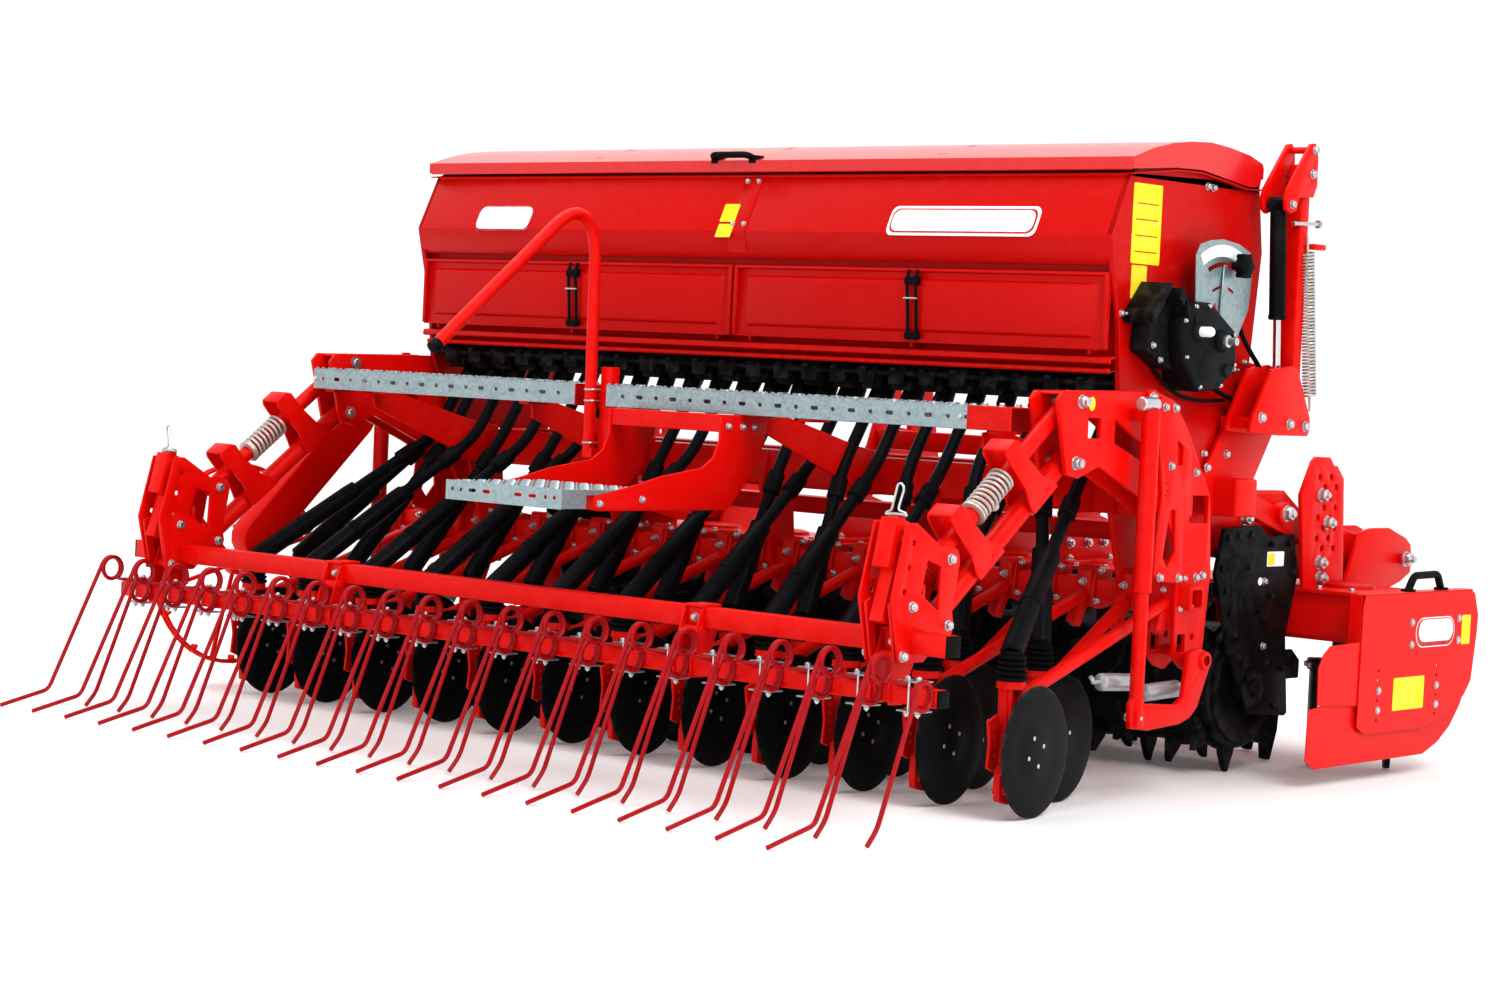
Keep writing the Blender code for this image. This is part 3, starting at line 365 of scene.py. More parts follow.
def settled(obj, name, body, slot, *replaced, smooth=35):
    """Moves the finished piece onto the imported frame, names it and hangs it on its body."""
    pick(obj)
    obj.data.transform(shifted(DATUM))
    bpy.ops.object.shade_smooth_by_angle(angle=radians(smooth))
    obj.name = obj.data.name = name
    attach(obj, body)
    if replaced:
        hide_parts(*replaced)
    return obj


def fixed(parts, name, slot, *replaced):
    """The parts made one piece of the machine's frame."""
    return settled(joined(parts), name, "machine_frame", slot, *replaced)


def from_frame(node, soft=0.002, rounds=1):
    """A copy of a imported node, made one skin with flat faces and broken edges, in machine measures."""
    made = copied(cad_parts[node], shifted(-DATUM))
    for key in list(made.keys()):
        del made[key]
    made.parent = None
    made.matrix_world = Matrix.Identity(4)
    pick(made)
    edit_all()
    bpy.ops.mesh.remove_doubles(threshold=0.00005)
    bpy.ops.mesh.dissolve_limited(angle_limit=radians(2))
    leave()
    if made.data.has_custom_normals:
        bpy.ops.mesh.customdata_custom_splitnormals_clear()
    if soft:
        softened(made, soft, rounds)
    return made


# ---------------------------------------------------------------- finishes

def added(tree, kind, inputs=(), **settings):
    made = tree.nodes.new(kind)
    for key, value in settings.items():
        setattr(made, key, value)
    for key, value in dict(inputs).items():
        if isinstance(value, bpy.types.NodeSocket):
            tree.links.new(value, made.inputs[key])
        else:
            made.inputs[key].default_value = value
    return made


VECTOR, COLOUR, FLOAT = "NodeSocketVector", "NodeSocketColor", "NodeSocketFloat"


def new_group(name, takes, gives):
    tree = bpy.data.node_groups.new(name, "ShaderNodeTree")
    for label, kind, value in takes:
        socket = tree.interface.new_socket(name=label, in_out="INPUT", socket_type=kind)
        if value is not None:
            socket.default_value = value
    for label, kind in gives:
        tree.interface.new_socket(name=label, in_out="OUTPUT", socket_type=kind)
    return tree, tree.nodes.new("NodeGroupInput").outputs, tree.nodes.new("NodeGroupOutput")


def noise(tree, vector, scale, detail):
    return added(tree, "ShaderNodeTexNoise",
            {"Vector": vector, "Scale": scale, "Detail": detail}).outputs["Fac"]


def ranged(tree, value, **ends):
    named = {label.replace("_", " ").title(): end for label, end in ends.items()}
    return added(tree, "ShaderNodeMapRange", {"Value": value, **named}).outputs["Result"]


def worked_out(tree, operation, first, second, **settings):
    return added(tree, "ShaderNodeMath", {0: first, 1: second}, operation=operation, **settings).outputs[0]


def blended(tree, factor, first, second):
    """The first colour going over to the second as the factor rises."""
    return added(tree, "ShaderNodeMix", {0: factor, 6: first, 7: second}, data_type="RGBA").outputs[2]


def handed_out(tree, given, **results):
    for label, result in results.items():
        tree.links.new(result, given.inputs[label])
    return tree


def make_grain_group():
    """Fine grain for relief and roughness, and a slow drift between two colours."""
    tree, taken, given = new_group("surface_grain",
            [("Vector", VECTOR, None), ("Colour", COLOUR, (0.5, 0, 0, 1)),
                ("Deep Colour", COLOUR, (0.3, 0, 0, 1)), ("Grain Scale", FLOAT, 300.0),
                ("Drift Scale", FLOAT, 3.0), ("Roughness", FLOAT, 0.35), ("Roughness Spread", FLOAT, 0.08)],
            [("Colour", COLOUR), ("Roughness", FLOAT), ("Height", FLOAT)])
    fine = noise(tree, taken["Vector"], taken["Grain Scale"], 3.0)
    slow = noise(tree, taken["Vector"], taken["Drift Scale"], 1.0)
    drift = ranged(tree, slow, from_min=0.1, from_max=0.9)
    spread = worked_out(tree, "MULTIPLY", worked_out(tree, "SUBTRACT", fine, 0.5), taken["Roughness Spread"])
    return handed_out(tree, given, Colour=blended(tree, drift, taken["Colour"], taken["Deep Colour"]),
            Roughness=worked_out(tree, "ADD", spread, taken["Roughness"], use_clamp=True), Height=fine)


def make_edge_wear_and_highlight_group():
    """Lightens the outer edges, in patches: partly wear, partly a painted highlight along the edges."""
    tree, taken, given = new_group("edge_wear_and_painted_highlight",
            [("Vector", VECTOR, None), ("Colour", COLOUR, (0.5, 0, 0, 1)),
                ("Wear And Highlight Colour", COLOUR, (0.8, 0.2, 0.1, 1)), ("Amount", FLOAT, 0.3)],
            [("Colour", COLOUR), ("Mask", FLOAT)])
    shape = added(tree, "ShaderNodeNewGeometry")
    # The outer edges, found by pointiness, are lightened both for wear and as a painted highlight.
    edge = ranged(tree, shape.outputs["Pointiness"], from_min=0.515, from_max=0.58)
    patchy = ranged(tree, noise(tree, taken["Vector"], 35.0, 5.0), from_min=0.45, from_max=0.6)
    wear_and_highlight_mask = worked_out(tree, "MULTIPLY", worked_out(tree, "MULTIPLY", edge, patchy), taken["Amount"])
    return handed_out(tree, given, Colour=blended(tree, wear_and_highlight_mask, taken["Colour"], taken["Wear And Highlight Colour"]),
            Mask=wear_and_highlight_mask)


def make_spangle_group():
    """The crystal pattern of hot-dip zinc: flat patches of slightly different tone and gloss."""
    tree, taken, given = new_group("zinc_spangle",
            [("Vector", VECTOR, None), ("Light", COLOUR, (0.7, 0.72, 0.7, 1)),
                ("Dark", COLOUR, (0.45, 0.5, 0.48, 1)), ("Scale", FLOAT, 90.0)],
            [("Colour", COLOUR), ("Roughness", FLOAT), ("Height", FLOAT)])
    crystals = added(tree, "ShaderNodeTexVoronoi", {"Vector": taken["Vector"], "Scale": taken["Scale"]})
    tone = added(tree, "ShaderNodeSeparateColor", {"Color": crystals.outputs["Color"]})
    blend = worked_out(tree, "MULTIPLY", tone.outputs[0], noise(tree, taken["Vector"], 14.0, 6.0))
    return handed_out(tree, given, Colour=blended(tree, blend, taken["Light"], taken["Dark"]),
            Roughness=ranged(tree, blend, to_min=0.32, to_max=0.5), Height=tone.outputs[1])


# The edge group paints wear and a highlight along the outer edges.
GRAIN, EDGE_WEAR_AND_HIGHLIGHT, SPANGLE = make_grain_group(), make_edge_wear_and_highlight_group(), make_spangle_group()


def new_finish(name):
    finish = bpy.data.materials.new(name)
    finish.use_nodes = True
    tree = finish.node_tree
    return finish, tree, tree.nodes["Principled BSDF"], added(tree, "ShaderNodeTexCoord")


def relief(tree, shader, height, strength, distance):
    bump = added(tree, "ShaderNodeBump", {"Height": height, "Strength": strength, "Distance": distance})
    tree.links.new(bump.outputs["Normal"], shader.inputs["Normal"])


def coated(name, colour, deep, edge, roughness, grain=260.0, bump=0.12, wear_and_highlight_amount=0.25, metallic=0.0, coat=0.0,
        spread=0.1, drift=2.2, specular=0.16):
    """Paint, plastic, rubber or plain metal with grain, slow colour drift, and outer edges lightened as wear
    and as a painted highlight.
    """
    finish, tree, shader, place = new_finish(name)
    skin = added(tree, "ShaderNodeGroup", node_tree=GRAIN)
    for label, value in (("Colour", colour), ("Deep Colour", deep), ("Grain Scale", grain),
            ("Roughness", roughness), ("Roughness Spread", spread), ("Drift Scale", drift)):
        skin.inputs[label].default_value = (*value, 1) if isinstance(value, tuple) else value
    # Edge lightening: wear, and a painted highlight along the outer edges.
    edge_wear_and_highlight = added(tree, "ShaderNodeGroup", {"Amount": wear_and_highlight_amount, "Wear And Highlight Colour": (*edge, 1)}, node_tree=EDGE_WEAR_AND_HIGHLIGHT)
    for group in (skin, edge_wear_and_highlight):
        tree.links.new(place.outputs["Object"], group.inputs["Vector"])
    tree.links.new(skin.outputs["Colour"], edge_wear_and_highlight.inputs["Colour"])
    tree.links.new(edge_wear_and_highlight.outputs["Colour"], shader.inputs["Base Color"])
    tree.links.new(skin.outputs["Roughness"], shader.inputs["Roughness"])
    shader.inputs["Metallic"].default_value = metallic
    shader.inputs["Coat Weight"].default_value = coat
    shader.inputs["Coat Roughness"].default_value = 0.12
    shader.inputs["Specular IOR Level"].default_value = specular
    relief(tree, shader, skin.outputs["Height"], bump, 0.0006)
    return finish


def zinc_coated(name, light, dark, scale, metallic=0.75):
    finish, tree, shader, place = new_finish(name)
    skin = added(tree, "ShaderNodeGroup",
            {"Vector": place.outputs["Object"], "Light": (*light, 1), "Dark": (*dark, 1), "Scale": scale},
            node_tree=SPANGLE)
    tree.links.new(skin.outputs["Colour"], shader.inputs["Base Color"])
    tree.links.new(skin.outputs["Roughness"], shader.inputs["Roughness"])
    shader.inputs["Metallic"].default_value = metallic
    relief(tree, shader, skin.outputs["Height"], 0.08, 0.0005)
    return finish


RED = coated("machine_red", (0.7, 0.0032, 0.001), (0.62, 0.0026, 0.0008), (0.85, 0.06, 0.03), 0.36, coat=0.02,
        wear_and_highlight_amount=0.1, drift=1.2)
# A darker copy of the machine red for the hopper and its covers: painted shade, as they stand in shade.
SHADED_HOPPER_RED = coated("hopper_red_painted_shade", (0.52, 0.003, 0.0018), (0.46, 0.0024, 0.0015), (0.75, 0.05, 0.03), 0.3,
        grain=180.0, coat=0.02, bump=0.06, wear_and_highlight_amount=0.08, drift=0.8, specular=0.12)
LID_RED = coated("lid_red", (0.62, 0.005, 0.008), (0.56, 0.004, 0.006), (0.8, 0.06, 0.04), 0.28, grain=180.0,
        coat=0.35, bump=0.01, wear_and_highlight_amount=0.08, drift=0.8, specular=0.5)
CAST_RED = coated("cast_red", (0.62, 0.0045, 0.002), (0.52, 0.003, 0.0015), (0.8, 0.07, 0.04), 0.4,
        grain=420.0, bump=0.3, coat=0.02, wear_and_highlight_amount=0.12)
TINE_RED = coated("tine_red", (0.36, 0.004, 0.009), (0.3, 0.003, 0.007), (0.5, 0.05, 0.05), 0.36, grain=520.0,
        bump=0.15, wear_and_highlight_amount=0.12)
BLACK = coated("satin_black", (0.0065, 0.0068, 0.0075), (0.004, 0.004, 0.0045), (0.05, 0.05, 0.055), 0.4,
        wear_and_highlight_amount=0.35, specular=0.07)
DISC_BLACK = coated("disc_black", (0.006, 0.0068, 0.0075), (0.0035, 0.004, 0.0045), (0.06, 0.065, 0.07), 0.34,
        grain=150.0, bump=0.06, wear_and_highlight_amount=0.4, specular=0.07)
HOSE_BLACK = coated("hose_black", (0.006, 0.007, 0.0095), (0.004, 0.0045, 0.006), (0.02, 0.02, 0.025), 0.38,
        grain=600.0, bump=0.1, wear_and_highlight_amount=0.2, drift=6.0, specular=0.07)
RUBBER = coated("bellows_rubber", (0.006, 0.006, 0.0065), (0.004, 0.004, 0.0045), (0.02, 0.02, 0.02), 0.5,
        grain=700.0, bump=0.2, wear_and_highlight_amount=0.2, specular=0.07)
HOUSING = coated("gearbox_black", (0.009, 0.0098, 0.011), (0.006, 0.0065, 0.0075), (0.04, 0.04, 0.045), 0.42,
        grain=900.0, bump=0.4, wear_and_highlight_amount=0.25, specular=0.07)
ZINC = zinc_coated("galvanised", (0.36, 0.44, 0.46), (0.19, 0.26, 0.28), 120.0)
BOLT = coated("bright_steel", (0.62, 0.64, 0.66), (0.42, 0.44, 0.46), (0.85, 0.85, 0.85), 0.3, metallic=0.85,
        grain=900.0, bump=0.1, spread=0.3, wear_and_highlight_amount=0.2, specular=0.5)
SPRING = coated("spring_zinc", (0.56, 0.52, 0.48), (0.36, 0.33, 0.3), (0.8, 0.8, 0.8), 0.36, metallic=0.5,
        grain=500.0, wear_and_highlight_amount=0.2, specular=0.5)
SILVER = coated("cylinder_silver", (0.52, 0.57, 0.6), (0.42, 0.47, 0.5), (0.8, 0.8, 0.8), 0.34, metallic=0.6,
        grain=300.0, bump=0.04, wear_and_highlight_amount=0.1, specular=0.5)
CHROME = coated("rod_chrome", (0.8, 0.8, 0.81), (0.7, 0.7, 0.72), (0.9, 0.9, 0.9), 0.12, metallic=1.0,
        grain=400.0, bump=0.03, wear_and_highlight_amount=0.0, spread=0.05, specular=0.5)
YELLOW = coated("label_yellow", (0.92, 0.7, 0.02), (0.88, 0.64, 0.01), (0.95, 0.8, 0.2), 0.4, bump=0.03)
WHITE = coated("label_white", (0.86, 0.85, 0.84), (0.8, 0.79, 0.79), (0.9, 0.9, 0.9), 0.35, bump=0.03)
PLATE_RED = coated("label_red", (0.5, 0.012, 0.02), (0.44, 0.01, 0.018), (0.7, 0.2, 0.2), 0.35, bump=0.03)
BLUE = coated("plug_blue", (0.02, 0.05, 0.22), (0.015, 0.035, 0.16), (0.1, 0.15, 0.4), 0.4)


# ---------------------------------------------------------------- fixings

def bolt_model(across=0.018, head=0.009, stub=0.0, finish=BOLT):
    """A hexagon head on its washer, pointing along +X from the plate it clamps."""
    parts = [rod((-0.0005, 0, 0), (0.0018, 0, 0), across * 0.66, finish, 12, soft=0.0005),
            rod((0.0015, 0, 0), (0.0015 + head, 0, 0), across * 0.56, finish, 6, soft=0.0014)]
    if stub:
        parts.append(rod((head, 0, 0), (head + stub, 0, 0), across * 0.28, finish, 8, soft=0.001))
    return joined(parts)


def bolts(points, direction, across=0.018, head=0.009, stub=0.0, finish=BOLT):
    return copies(bolt_model(across, head, stub, finish),
            [shifted(point) @ facing(direction) for point in points])


def side_bolts(x, spots, *sizes, way=RIGHT):
    """Bolts at (Y, Z) spots on a face square to X."""
    return bolts([(x, y, z) for y, z in spots], way, *sizes)


def pin_end(point, direction, radius, reach, finish=BOLT):
    """The end of a pin with its collar, standing out of a plate."""
    point, way = Vector(point), Vector(direction).normalized()
    return turned([(-0.002, 0), (-0.002, radius * 1.6), (reach * 0.3, radius * 1.6), (reach * 0.35, radius),
                (reach - 0.002, radius), (reach, radius * 0.7), (reach, 0)], point, way, finish, 14)


def round_cornered(a_low, a_high, b_low, b_high, corner, steps=4):
    """The outline of an upright rectangle with rounded corners."""
    left, right, low, high = a_low + corner, a_high - corner, b_low + corner, b_high - corner
    outline = []
    for turn, middle in enumerate(((right, high), (left, high), (left, low), (right, low))):
        outline += arc(middle, corner, 90 * turn, 90 * turn + 90, steps)
    return outline


def sticker(a_low, a_high, b_low, b_high, depth, finish, axis="x", thick=0.0006, corner=0.004):
    """A thin label with rounded corners on a flat face."""
    return slab(round_cornered(a_low, a_high, b_low, b_high, corner), depth, depth + thick, finish, axis,
            soft=0)


# ---------------------------------------------------------------- hopper

HOPPER_END_X = 1.25
REAR_WALL_TOP = Vector((0, -0.628, 1.553))
REAR_WALL_FOLD = Vector((0, -0.701, 1.395))


def on_rear_wall(x, z, lift=0.0):
    """A point on the slanted upper rear wall of the hopper at this X and Z, lifted off it."""
    share = (z - REAR_WALL_FOLD.z) / (REAR_WALL_TOP.z - REAR_WALL_FOLD.z)
    point = REAR_WALL_FOLD.lerp(REAR_WALL_TOP, share)
    slope = REAR_WALL_TOP - REAR_WALL_FOLD
    outwards = Vector((0, -slope.z, slope.y)).normalized()
    return Vector((x, point.y, point.z)) + outwards * lift


def wall_plate(x_low, x_high, z_low, z_high, finish, lift, thick=0.0012, corner=0.02):
    """A flat plate with rounded corners lying on the slanted rear wall."""
    outline = round_cornered(x_low, x_high, z_low, z_high, corner)
    sheet = traced([on_rear_wall(x, z, lift) for x, z in outline])
    edit_all()
    extruded(on_rear_wall(0, 1.4, thick) - on_rear_wall(0, 1.4))
    leave()
    return painted(outward(sheet), finish)


def make_hopper():
    inner = HOPPER_END_X - 0.006
    # The hopper's sheets take the darker hopper red, which carries painted shade.
    parts = [painted(from_frame("hopper", soft=0.0018), SHADED_HOPPER_RED)]
    # The rear wall: two sheets that meet near the middle, folded out over the metering covers.
    fold = [(-0.628, 1.553), (-0.701, 1.395), (-0.688, 1.338), (-0.676, 1.322), (-0.66, 1.322),
            (-0.66, 1.326), (-0.673, 1.327), (-0.684, 1.34), (-0.696, 1.395), (-0.624, 1.551)]
    for low, high in ((-inner, 0.02), (0.0205, inner)):
        parts.append(slab(fold, low, high, SHADED_HOPPER_RED, soft=0.0012, rounds=2))
    strip = [(-0.6295, 1.553), (-0.7025, 1.395), (-0.6895, 1.338), (-0.6882, 1.339), (-0.701, 1.395),
            (-0.628, 1.553)]
    parts.append(slab(strip, -0.012, 0.052, SHADED_HOPPER_RED, soft=0.0004))
    # The rolled rim below the lid, and the skirt over the hinges of the covers.
    parts.append(rod((-inner, -0.626, 1.549), (inner, -0.626, 1.549), 0.006, SHADED_HOPPER_RED, 10, soft=0))
    skirt = [(-0.64, 1.098), (-0.668, 1.094), (-0.672, 1.08), (-0.664, 1.076), (-0.662, 1.088),
            (-0.64, 1.091)]
    parts.append(slab(skirt, -inner, inner, SHADED_HOPPER_RED, soft=0.0008))
    # Flanges folded round the rear edge of each end.
    edge = [(-0.628, 1.553), (-0.701, 1.395), (-0.683, 1.321), (-0.65, 1.19), (-0.63, 1.015), (-0.56, 0.86),
            (-0.554, 0.864), (-0.623, 1.018), (-0.643, 1.191), (-0.675, 1.321), (-0.692, 1.394),
            (-0.621, 1.551)]
    parts += both_sides([slab(edge, 1.236, 1.2515, SHADED_HOPPER_RED, soft=0.002, rounds=2)])
    # The crest of each end, which closes the space below the arched lid.
    crest = [(-0.625, 1.553), (-0.56, 1.585), (-0.475, 1.605), (-0.389, 1.617), (-0.3, 1.622),
            (-0.208, 1.616), (-0.115, 1.603), (-0.052, 1.585), (-0.032, 1.565), (-0.032, 1.545),
            (-0.62, 1.545)]
    lip = [(-0.642, 1.549), (-0.64, 1.553), (-0.452, 1.5745), (-0.337, 1.5775), (-0.2, 1.5625),
            (-0.111, 1.5515), (-0.04, 1.5545), (-0.04, 1.5505), (-0.111, 1.5475), (-0.2, 1.5585),
            (-0.337, 1.5735), (-0.452, 1.5705)]
    parts += both_sides([slab(crest, 1.2445, 1.25, SHADED_HOPPER_RED, soft=0.001),
            slab(lip, 1.249, 1.269, SHADED_HOPPER_RED, soft=0.0006)])
    fixed(parts, "hopper_shell", "machine_red", "hopper")

    trim = [wall_plate(-1.013, -0.782, 1.388, 1.466, PLATE_RED, 0.0002),
            wall_plate(-1.006, -0.789, 1.394, 1.46, WHITE, 0.0012),
            wall_plate(0.54, 1.02, 1.388, 1.466, WHITE, 0.0002),
            wall_plate(0.548, 1.012, 1.395, 1.459, PLATE_RED, 0.0012),
            wall_plate(0.553, 1.007, 1.399, 1.455, WHITE, 0.0022),
            wall_plate(-0.051, 0.004, 1.42, 1.47, YELLOW, 0.0014, 0.0006, 0.003),
            wall_plate(-0.049, 0.006, 1.377, 1.414, YELLOW, 0.0014, 0.0006, 0.003),
            sticker(-0.612, -0.484, 1.331, 1.531, HOPPER_END_X + 0.0002, YELLOW),
            sticker(-0.605, -0.537, 1.243, 1.327, HOPPER_END_X + 0.0002, YELLOW)]
    for z in (1.36, 1.4, 1.44, 1.48):
        trim.append(sticker(-0.598, -0.498, z, z + 0.0025, HOPPER_END_X + 0.0009, PLATE_RED, corner=0.001))
    fixed(trim, "hopper_plates", "galvanised")

    spots = [on_rear_wall(x, z, 0.0005) for x in (0.0, 0.04) for z in (1.415, 1.535)]
    along_wall = on_rear_wall(0, 1.4, 1) - on_rear_wall(0, 1.4)
    fixings = [bolts(spots, along_wall, 0.012, 0.005)]
    ends = [(-0.279, 1.545), (-0.252, 1.543), (-0.15, 1.33), (-0.45, 0.88), (-0.15, 0.86), (-0.23, 0.86),
            (-0.37, 0.87)]
    fixings += both_sides([side_bolts(HOPPER_END_X, ends, 0.016, 0.008)])
    fixed(fixings, "hopper_bolts", "bright_steel")


def make_lid():
    parts = [painted(from_frame("hopper_lid", soft=0.0012), LID_RED)]
    # A bead along the rear lip, and three stiffening ribs across the crown.
    parts.append(rod((-1.262, -0.6435, 1.5625), (1.262, -0.6435, 1.5625), 0.0035, LID_RED, 10, soft=0))
    crown = [(-0.6, 1.6075), (-0.475, 1.6395), (-0.3, 1.6553), (-0.115, 1.6375), (-0.115, 1.6325),
            (-0.3, 1.6503), (-0.475, 1.6345), (-0.6, 1.6025)]
    for x in (-0.012, -0.62, 0.62):
        parts.append(slab([(y, z + 0.0006) for y, z in crown], x, x + 0.024, LID_RED, soft=0.0008))
    settled(joined(parts), "lid_shell", "lid", "machine_red", "hopper_lid", smooth=28)
    bow = rounded([(-0.118, -0.628, 1.592), (-0.116, -0.665, 1.606), (0.018, -0.665, 1.606),
                (0.02, -0.628, 1.592)], 0.022, 5)
    handle = [wire(bow, 0.009, RUBBER, 3)]
    for x in (-0.118, 0.02):
        handle.append(box(x - 0.014, x + 0.014, -0.648, -0.612, 1.583, 1.606, RUBBER, 0.003, 2))
    settled(joined(handle), "lid_handle", "lid", "black_plastic")


def make_covers():
    for side, low, high, strap_x in (("left", -1.237, -0.004, -0.603), ("right", 0.004, 1.237, 0.63)):
        face = [(-0.6762, 1.1115), (-0.671, 1.1115), (-0.6655, 1.297), (-0.68, 1.305), (-0.6822, 1.297),
                (-0.6715, 1.294)]
        # The covers take the darker hopper red, which carries painted shade.
        parts = [slab(face, low, high, SHADED_HOPPER_RED, soft=0.0012, rounds=2)]
        # The panel stands out of its flanges, pressed to a shallow tray with slanting ends.
        tray = box(low + 0.03, high - 0.03, -0.682, -0.67, 1.135, 1.28, SHADED_HOPPER_RED, soft=0)
        faces_where(tray, lambda centre, normal: normal.y < -0.9)
        bpy.ops.transform.resize(value=((high - low - 0.12) / (high - low - 0.06), 1, 0.86))
        leave()
        parts.append(painted(softened(tray, 0.004, 3), SHADED_HOPPER_RED))
        for x in (low + 0.0005, high - 0.0125):
            parts.append(box(x, x + 0.012, -0.683, -0.668, 1.115, 1.3, SHADED_HOPPER_RED, 0.002, 2))
        settled(joined(parts), "cover_" + side, "cover_" + side, "machine_red", "metering_cover_" + side)
        route = rounded([(strap_x - 0.004, -0.684, 1.3), (strap_x - 0.002, -0.694, 1.27),
                    (strap_x + 0.004, -0.692, 1.19), (strap_x + 0.006, -0.69, 1.118)], 0.03)
        latch = [wire([p + Vector((offset, 0, 0)) for p in route], 0.0045, RUBBER)
                for offset in (-0.014, 0.014)]
        latch.append(box(strap_x - 0.022, strap_x + 0.022, -0.699, -0.682, 1.262, 1.282, RUBBER, 0.003, 2))
        latch.append(box(strap_x - 0.017, strap_x + 0.027, -0.697, -0.681, 1.12, 1.138, RUBBER, 0.003, 2))
        latch.append(wire([(strap_x - 0.022, -0.697, 1.226), (strap_x + 0.022, -0.697, 1.226)], 0.003, BOLT))
        settled(joined(latch), "cover_latch_" + side, "cover_" + side, "black_plastic")


# ---------------------------------------------------------------- metering drive

def make_metering_gearbox():
    start = HOPPER_END_X + 0.0005
    back = [(-0.6, 1.115), (-0.59, 1.225), (-0.545, 1.268), (-0.443, 1.27), (-0.27, 1.19), (-0.235, 1.11),
            (-0.3, 1.04), (-0.52, 1.08)]
    cover = [(-0.5, 1.095), (-0.515, 1.19), (-0.455, 1.245), (-0.385, 1.245), (-0.262, 1.176), (-0.252, 1.09),
            (-0.322, 1.028), (-0.425, 1.018)]
    parts = [slab(back, start, start + 0.055, HOUSING, soft=0.008, rounds=2),
            slab(cover, start + 0.05, start + 0.1, HOUSING, soft=0.01, rounds=3)]
    parts.append(slab([(-0.64, 1.2), (-0.56, 1.288), (-0.545, 1.284), (-0.625, 1.18)], start, start + 0.09,
            BLACK, soft=0.002))
    for y, z, radius, reach in ((-0.445, 1.17, 0.024, 0.112), (-0.335, 1.15, 0.026, 0.116),
            (-0.3, 1.075, 0.018, 0.106), (-0.385, 1.08, 0.05, 0.102)):
        parts.append(turned([(0, 0), (0, radius * 1.25), (reach - 0.012, radius * 1.1),
                    (reach - 0.004, radius), (reach, radius * 0.85), (reach, 0)], (start, y, z), RIGHT,
                HOUSING, 20))
    for step in range(6):
        angle = radians(-60 + 32 * step)
        y, z = -0.47 + 0.06 * cos(angle + pi), 1.205 + 0.06 * sin(angle + pi / 2)
        parts.append(box(start + 0.05, start + 0.104, y - 0.003, y + 0.003, z - 0.022, z + 0.01, HOUSING,
                0.001))
    fixed(parts, "metering_gearbox_case", "black_plastic", "metering_gearbox")

    sector = [(-0.405, 1.215), (-0.412, 1.365), (-0.395, 1.392), (-0.35, 1.404), (-0.29, 1.41),
            (-0.215, 1.402), (-0.16, 1.384), (-0.142, 1.362), (-0.155, 1.235), (-0.2, 1.165), (-0.3, 1.13)]
    slots, pivot = [], (-0.28, 1.19)
    for radius, first, last, thick in ((0.15, 68, 118, 0.012), (0.095, 60, 120, 0.007)):
        slots.append(window(arc(pivot, radius, first, last, 8) + arc(pivot, radius + thick, last, first, 8),
                start + 0.06, start + 0.064))
    plate = slab(sector, start + 0.06, start + 0.064, ZINC, soft=0.001, rounds=2, holes=slots)
    centre = (-0.285, 1.19)
    band = arc(centre, 0.176, 56, 122, 10) + arc(centre, 0.206, 122, 56, 10)
    dial = [plate, slab(band, start + 0.0642, start + 0.065, WHITE, soft=0)]
    dial.append(slab([(-0.3, 1.2), (-0.262, 1.196), (-0.272, 1.345), (-0.29, 1.345)], start + 0.066,
            start + 0.07, ZINC, soft=0.001))
    dial.append(slab([(-0.33, 1.215), (-0.3, 1.212), (-0.316, 1.248)], start + 0.065, start + 0.0656,
            PLATE_RED, soft=0))
    fixed(dial, "metering_scale", "galvanised")

    knob = [turned([(0.062, 0), (0.062, 0.01), (0.082, 0.01), (0.084, 0.026), (0.094, 0.03), (0.106, 0.028),
                (0.112, 0.018), (0.112, 0)], (start, -0.236, 1.345), RIGHT, RUBBER, 20)]
    for y, z in arc((-0.236, 1.345), 0.027, 0, 300, 5):
        knob.append(turned([(0.083, 0), (0.083, 0.007), (0.105, 0.007), (0.105, 0)], (start, y, z), RIGHT,
                RUBBER, 8))
    fixed(knob, "metering_knob", "black_plastic")

    steel = [turned([(0.108, 0), (0.108, 0.013), (0.14, 0.013), (0.146, 0.009), (0.146, 0)],
                (start, -0.445, 1.17), RIGHT, WHITE, 16),
            pin_end((start + 0.112, -0.335, 1.15), RIGHT, 0.01, 0.038)]
    rim = [(-0.5, 1.195), (-0.455, 1.232), (-0.395, 1.235), (-0.275, 1.168), (-0.266, 1.092), (-0.325, 1.038),
            (-0.42, 1.032), (-0.488, 1.105)]
    steel.append(side_bolts(start + 0.098, rim, 0.01, 0.005))
    base = [(-0.575, 1.13), (-0.58, 1.2), (-0.54, 1.095), (-0.562, 1.245)]
    steel.append(side_bolts(start + 0.055, base, 0.013, 0.006))
    wall = [(-0.64, 1.205), (-0.18, 1.25), (-0.11, 1.08), (-0.06, 1.1)]
    steel.append(side_bolts(start, wall, 0.014, 0.007, 0.012))
    fixed(steel, "metering_gearbox_fixings", "bright_steel")

